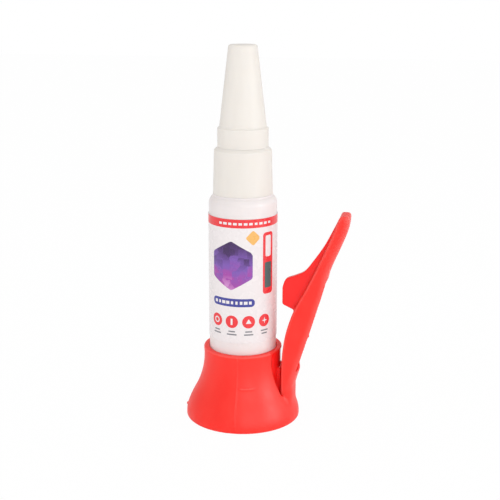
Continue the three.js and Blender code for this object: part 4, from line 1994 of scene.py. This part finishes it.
@dataclass
class Dispenser:
    """Screw nozzle with its sealing ring, and the overcap with its pin."""

    collar: float = 11.36
    collar_draft: float = 0.46
    collar_low: float = 89.5
    chamfer: float = 1.1
    shelf: float = 1.18
    skirt: float = 9.6
    skirt_middle: float = 97.0
    thread_height: float = 0.45
    thread_base: float = 1.1
    thread_windings: float = 2.6
    thread_start: float = 93.95
    deck_under: float = 105.2
    deck_top: float = 107.1
    plug: float = 7.9
    plug_wall: float = 1.5
    plug_top: float = 113.1
    spout: float = 4.6
    spout_wall: float = 1.3
    spout_top: float = 138.1
    tip: float = 1.7
    bore: float = 0.75
    bore_length: float = 4.0
    cap_low: float = 107.12
    cap_top: float = 144.8
    cap_inner: float = 8.2
    ring: float = 9.66
    ring_height: float = 6.98
    ring_step: tuple[float, float] = (0.08, 0.68)  # outer and inner edge above the ring
    cone: float = 8.9
    cone_top: float = 5.36
    cap_wall: float = 1.3
    cap_top_wall: float = 2.2
    boss: float = 2.0
    gap: float = 0.3
    pin: float = 0.4
    pin_gap: float = 0.1
    pin_length: float = 20.0
    pin_seat: float = 3.6
    neck: float = 8.6
    mouth: float = 7.2
    seal_low: float = 104.1
    seal_high: float = 104.9

    def build(self) -> list[bpy.types.Object]:
        """Builds and dresses the four pieces and the collar's thread.

        Returns:
            The pieces.
        """
        ivory = IVORY_PLASTIC.material()
        nozzle, cap, seal, pin = self.nozzle(), self.cap(), self.seal(), self.wire()
        liner, steel = LINER_PLASTIC.material(), WIRE.material()
        for piece, finish in ((nozzle, ivory), (cap, ivory), (seal, liner), (pin, steel)):
            piece.data.materials.append(finish)
        dress(nozzle, Body.NOZZLE, "nozzle_plastic", "nozzle")
        thread = ScrewThread(
            "collar_thread", self.skirt, self.thread_height, self.thread_base, THREAD_PITCH,
            self.thread_windings, self.thread_start, inward=True,
        ).build(ivory)
        dress(thread, Body.NOZZLE, "nozzle_plastic")
        dress(cap, Body.CAP, "nozzle_plastic", "cap")
        dress(seal, Body.SEAL, "seal", "neck_seal")
        dress(pin, Body.CAP, "pin_steel", "clog_pin")
        return [nozzle, thread, cap, seal, pin]

    def nozzle(self) -> bpy.types.Object:
        """Turns the nozzle: collar, deck, plug and hollow spout.

        Returns:
            The piece.
        """
        upper = self.collar - self.collar_draft
        corners = [
            (self.skirt, self.skirt_middle, 0), (self.skirt, self.collar_low, 0.2),
            (self.collar, self.collar_low, 0.08),
            (upper, self.deck_top - self.chamfer, 0.5), (upper - self.shelf, self.deck_top, 0.03),
            (self.plug, self.deck_top, 0.3), (self.plug, self.plug_top, 0.5),
            (self.spout, self.plug_top, 0.6), (self.tip, self.spout_top, 0.4),
            (self.bore, self.spout_top, 0.15), (self.bore, self.spout_top - self.bore_length, 0.2),
            (self.spout - self.spout_wall, self.plug_top - self.plug_wall, 0.4),
            (self.plug - self.plug_wall, self.plug_top - self.plug_wall, 0.4),
            (self.plug - self.plug_wall, self.deck_under, 0.3), (self.skirt, self.deck_under, 0.4),
            (self.skirt, self.skirt_middle, 0),
        ]
        return turned("nozzle_body", rounded(corners))

    def cap(self) -> bpy.types.Object:
        """Turns the overcap with the boss inside its top.

        Returns:
            The piece.
        """
        ring_top, under = self.cap_low + self.ring_height, self.plug_top + self.gap
        boss_low = self.spout_top + self.gap
        hole, seat = self.pin + self.pin_gap, boss_low + self.pin_seat + self.pin_gap
        ceiling = self.cap_top - self.cap_top_wall
        pin_hole = [(0, seat, 0), (hole, seat, 0), (hole, boss_low, 0.1), (self.boss, boss_low, 0.25)]
        hollow = [
            (self.boss, ceiling, 0.4), (self.cone_top - self.cap_wall, ceiling, 0.6),
            (self.cone - self.cap_wall, under, 0.3), (self.cap_inner, under, 0.3),
            (self.cap_inner, self.cap_low, 0.25),
        ]
        outside = [
            (self.ring, self.cap_low, 0.06), (self.ring, ring_top + self.ring_step[0], 0.3),
            (self.cone, ring_top + self.ring_step[1], 0.3), (self.cone_top, self.cap_top, 0.9),
            (0, self.cap_top, 0),
        ]
        return turned("cap_shell", rounded(pin_hole + hollow + outside))

    def seal(self) -> bpy.types.Object:
        """Turns the soft ring under the nozzle's deck.

        Returns:
            The piece.
        """
        middle = (self.neck + self.mouth) / 2
        corners = [
            (middle, self.seal_low, 0), (self.neck, self.seal_low, 0.2), (self.neck, self.seal_high, 0.2),
            (self.mouth, self.seal_high, 0.2), (self.mouth, self.seal_low, 0.2), (middle, self.seal_low, 0),
        ]
        return turned("seal_ring", rounded(corners))

    def wire(self) -> bpy.types.Object:
        """Turns the pin, with a rounded tip.

        Returns:
            The piece.
        """
        high = self.spout_top + self.gap + self.pin_seat
        low = high - self.pin_length
        corners = [(0, low, 0), (self.pin, low, 0.35), (self.pin, high, 0.1), (0, high, 0)]
        return turned("clog_wire", rounded(corners), segments=32)


# Studio


class Shine(Enum):
    """What a lamp does to a surface."""

    ALL = "lights it and shows in its gloss"
    EVEN = "lights it without a glint"
    GLINT = "shows in its gloss only"


@dataclass(frozen=True)
class SoftLamp:
    """A soft lamp that points at the object."""

    name: str
    azimuth: float
    elevation: float
    distance: float
    width: float
    power: float
    shine: Shine = Shine.ALL

    def place(self, target: Vector) -> None:
        """Hangs the lamp.

        Args:
            target: Point that it shines on.
        """
        data = bpy.data.lights.new(self.name, "AREA")
        data.shape, data.size, data.energy = "DISK", self.width, self.power
        lamp = bpy.data.objects.new(self.name, data)
        az, el = math.radians(self.azimuth), math.radians(self.elevation)
        way = Vector((math.cos(el) * math.cos(az), math.cos(el) * math.sin(az), math.sin(el)))
        lamp.location = target + way * self.distance
        lamp.rotation_euler = way.to_track_quat("Z", "Y").to_euler()
        lamp.visible_glossy = self.shine is not Shine.EVEN
        lamp.visible_diffuse = self.shine is not Shine.GLINT
        bpy.context.scene.collection.objects.link(lamp)


@dataclass
class Studio:
    """Pale floor, soft light and the camera of the photograph."""

    turn: float = math.radians(11.0)
    distance: float = 0.3815
    height: float = 0.1665
    pitch: float = math.radians(75.36)
    lens: float = 73.57
    shift: float = 0.0141
    sensor: float = 36.0
    near: float = 0.01
    target: tuple[float, float, float] = (0.004, 0.0, 0.065)
    floor_half: float = 2000.0
    floor_height: float = -0.05
    floor_white: float = 0.97
    floor_roughness: float = 0.9
    floor_glow: float = 0.97
    ambient: float = 0.77
    bright_side: float = math.radians(5.0)
    gloss: tuple[float, float] = (0.4, 1.35)
    lamps: tuple[SoftLamp, ...] = (
        SoftLamp("key_lamp", -66.0, 16.0, 0.9, 0.5, 2.3),
        SoftLamp("fill_lamp", -165.0, 25.0, 1.0, 0.8, 1.2, Shine.EVEN),
        SoftLamp("side_lamp", 0.0, 20.0, 1.0, 0.8, 1.2, Shine.EVEN),
        SoftLamp("glint_lamp", -15.0, 14.0, 0.9, 0.5, 4.8, Shine.GLINT),
    )

    def build(self) -> None:
        """Sets up floor, light and camera."""
        scene = bpy.context.scene
        scene.view_settings.view_transform = "Standard"
        self.camera()
        self.world()
        self.floor()
        for lamp in self.lamps:
            lamp.place(Vector(self.target))

    def camera(self) -> None:
        """Sets the camera where the photograph was taken from."""
        data = bpy.data.cameras.new("photo_camera")
        data.lens, data.sensor_width = self.lens, self.sensor
        data.shift_x, data.clip_start = self.shift, self.near
        camera = bpy.data.objects.new("photo_camera", data)
        across, back = self.distance * math.sin(self.turn), self.distance * math.cos(self.turn)
        camera.location = (across, -back, self.height)
        camera.rotation_euler = (self.pitch, 0, self.turn)
        bpy.context.scene.collection.objects.link(camera)
        bpy.context.scene.camera = camera

    @staticmethod
    def seen(tree: bpy.types.NodeTree) -> bpy.types.NodeSocket:
        """Tells whether a ray shows its target to the eye, directly or in gloss or glass.

        Args:
            tree: Node tree to work in.

        Returns:
            One for such a ray.
        """
        path = tree.nodes.new("ShaderNodeLightPath")
        found = path.outputs["Is Camera Ray"]
        for name in ("Is Glossy Ray", "Is Transmission Ray"):
            either = tree.nodes.new("ShaderNodeMath")
            either.operation = "MAXIMUM"
            tree.links.new(found, either.inputs[0])
            tree.links.new(path.outputs[name], either.inputs[1])
            found = either.outputs[0]
        return found

    def world(self) -> None:
        """Makes the surrounding light, which shows as white and in gloss pales towards the bright side."""
        world = bpy.data.worlds.new("white_studio")
        world.use_nodes = True
        tree = world.node_tree
        tree.nodes.clear()
        path, way = tree.nodes.new("ShaderNodeLightPath"), tree.nodes.new("ShaderNodeTexCoord")
        facing = tree.nodes.new("ShaderNodeVectorMath")
        facing.operation = "DOT_PRODUCT"
        facing.inputs[1].default_value = (math.cos(self.bright_side), math.sin(self.bright_side), 0)
        tree.links.new(way.outputs["Generated"], facing.inputs[0])
        gloss = map_range(tree, facing.outputs["Value"], (-1.0, 1.0), self.gloss)
        strength: bpy.types.NodeSocket | None = None
        for ray, seen in (("Is Glossy Ray", gloss), ("Is Transmission Ray", 1.0), ("Is Camera Ray", 1.0)):
            mix = tree.nodes.new("ShaderNodeMix")
            mix.inputs["A"].default_value = self.ambient
            tree.links.new(path.outputs[ray], mix.inputs["Factor"])
            if strength is not None:
                tree.links.new(strength, mix.inputs["A"])
            if isinstance(seen, float):
                mix.inputs["B"].default_value = seen
            else:
                tree.links.new(seen, mix.inputs["B"])
            strength = mix.outputs["Result"]
        light, out = tree.nodes.new("ShaderNodeBackground"), tree.nodes.new("ShaderNodeOutputWorld")
        light.inputs["Color"].default_value = (1, 1, 1, 1)
        tree.links.new(strength, light.inputs["Strength"])
        tree.links.new(light.outputs[0], out.inputs["Surface"])
        bpy.context.scene.world = world

    def floor(self) -> None:
        """Lays the floor, nearly white to the eye and with a faint shadow."""
        corners = [(-1, -1), (1, -1), (1, 1), (-1, 1)]
        places = [(x * self.floor_half, y * self.floor_half, self.floor_height) for x, y in corners]
        floor = mesh_piece("floor", np.array(places), [range(len(places))])
        finish = bpy.data.materials.new("white_floor")
        finish.use_nodes = True
        tree = finish.node_tree
        paper = tree.nodes["Principled BSDF"]
        paper.inputs["Base Color"].default_value = (self.floor_white, self.floor_white, self.floor_white, 1)
        paper.inputs["Roughness"].default_value = self.floor_roughness
        glow, mix = tree.nodes.new("ShaderNodeEmission"), tree.nodes.new("ShaderNodeMixShader")
        share = tree.nodes.new("ShaderNodeMath")
        share.operation = "MULTIPLY"
        share.inputs[1].default_value = self.floor_glow
        tree.links.new(self.seen(tree), share.inputs[0])
        tree.links.new(share.outputs[0], mix.inputs[0])
        tree.links.new(paper.outputs[0], mix.inputs[1])
        tree.links.new(glow.outputs[0], mix.inputs[2])
        tree.links.new(mix.outputs[0], tree.nodes["Material Output"].inputs["Surface"])
        floor.data.materials.append(finish)


def main() -> None:
    """Builds the object piece by piece."""
    logging.basicConfig(level=logging.INFO, format="%(message)s")
    Studio().build()
    SqueezeStand().build()
    Bottle().build()
    WrapLabel().build()
    Dispenser().build()


if __name__ == "__main__":
    main()
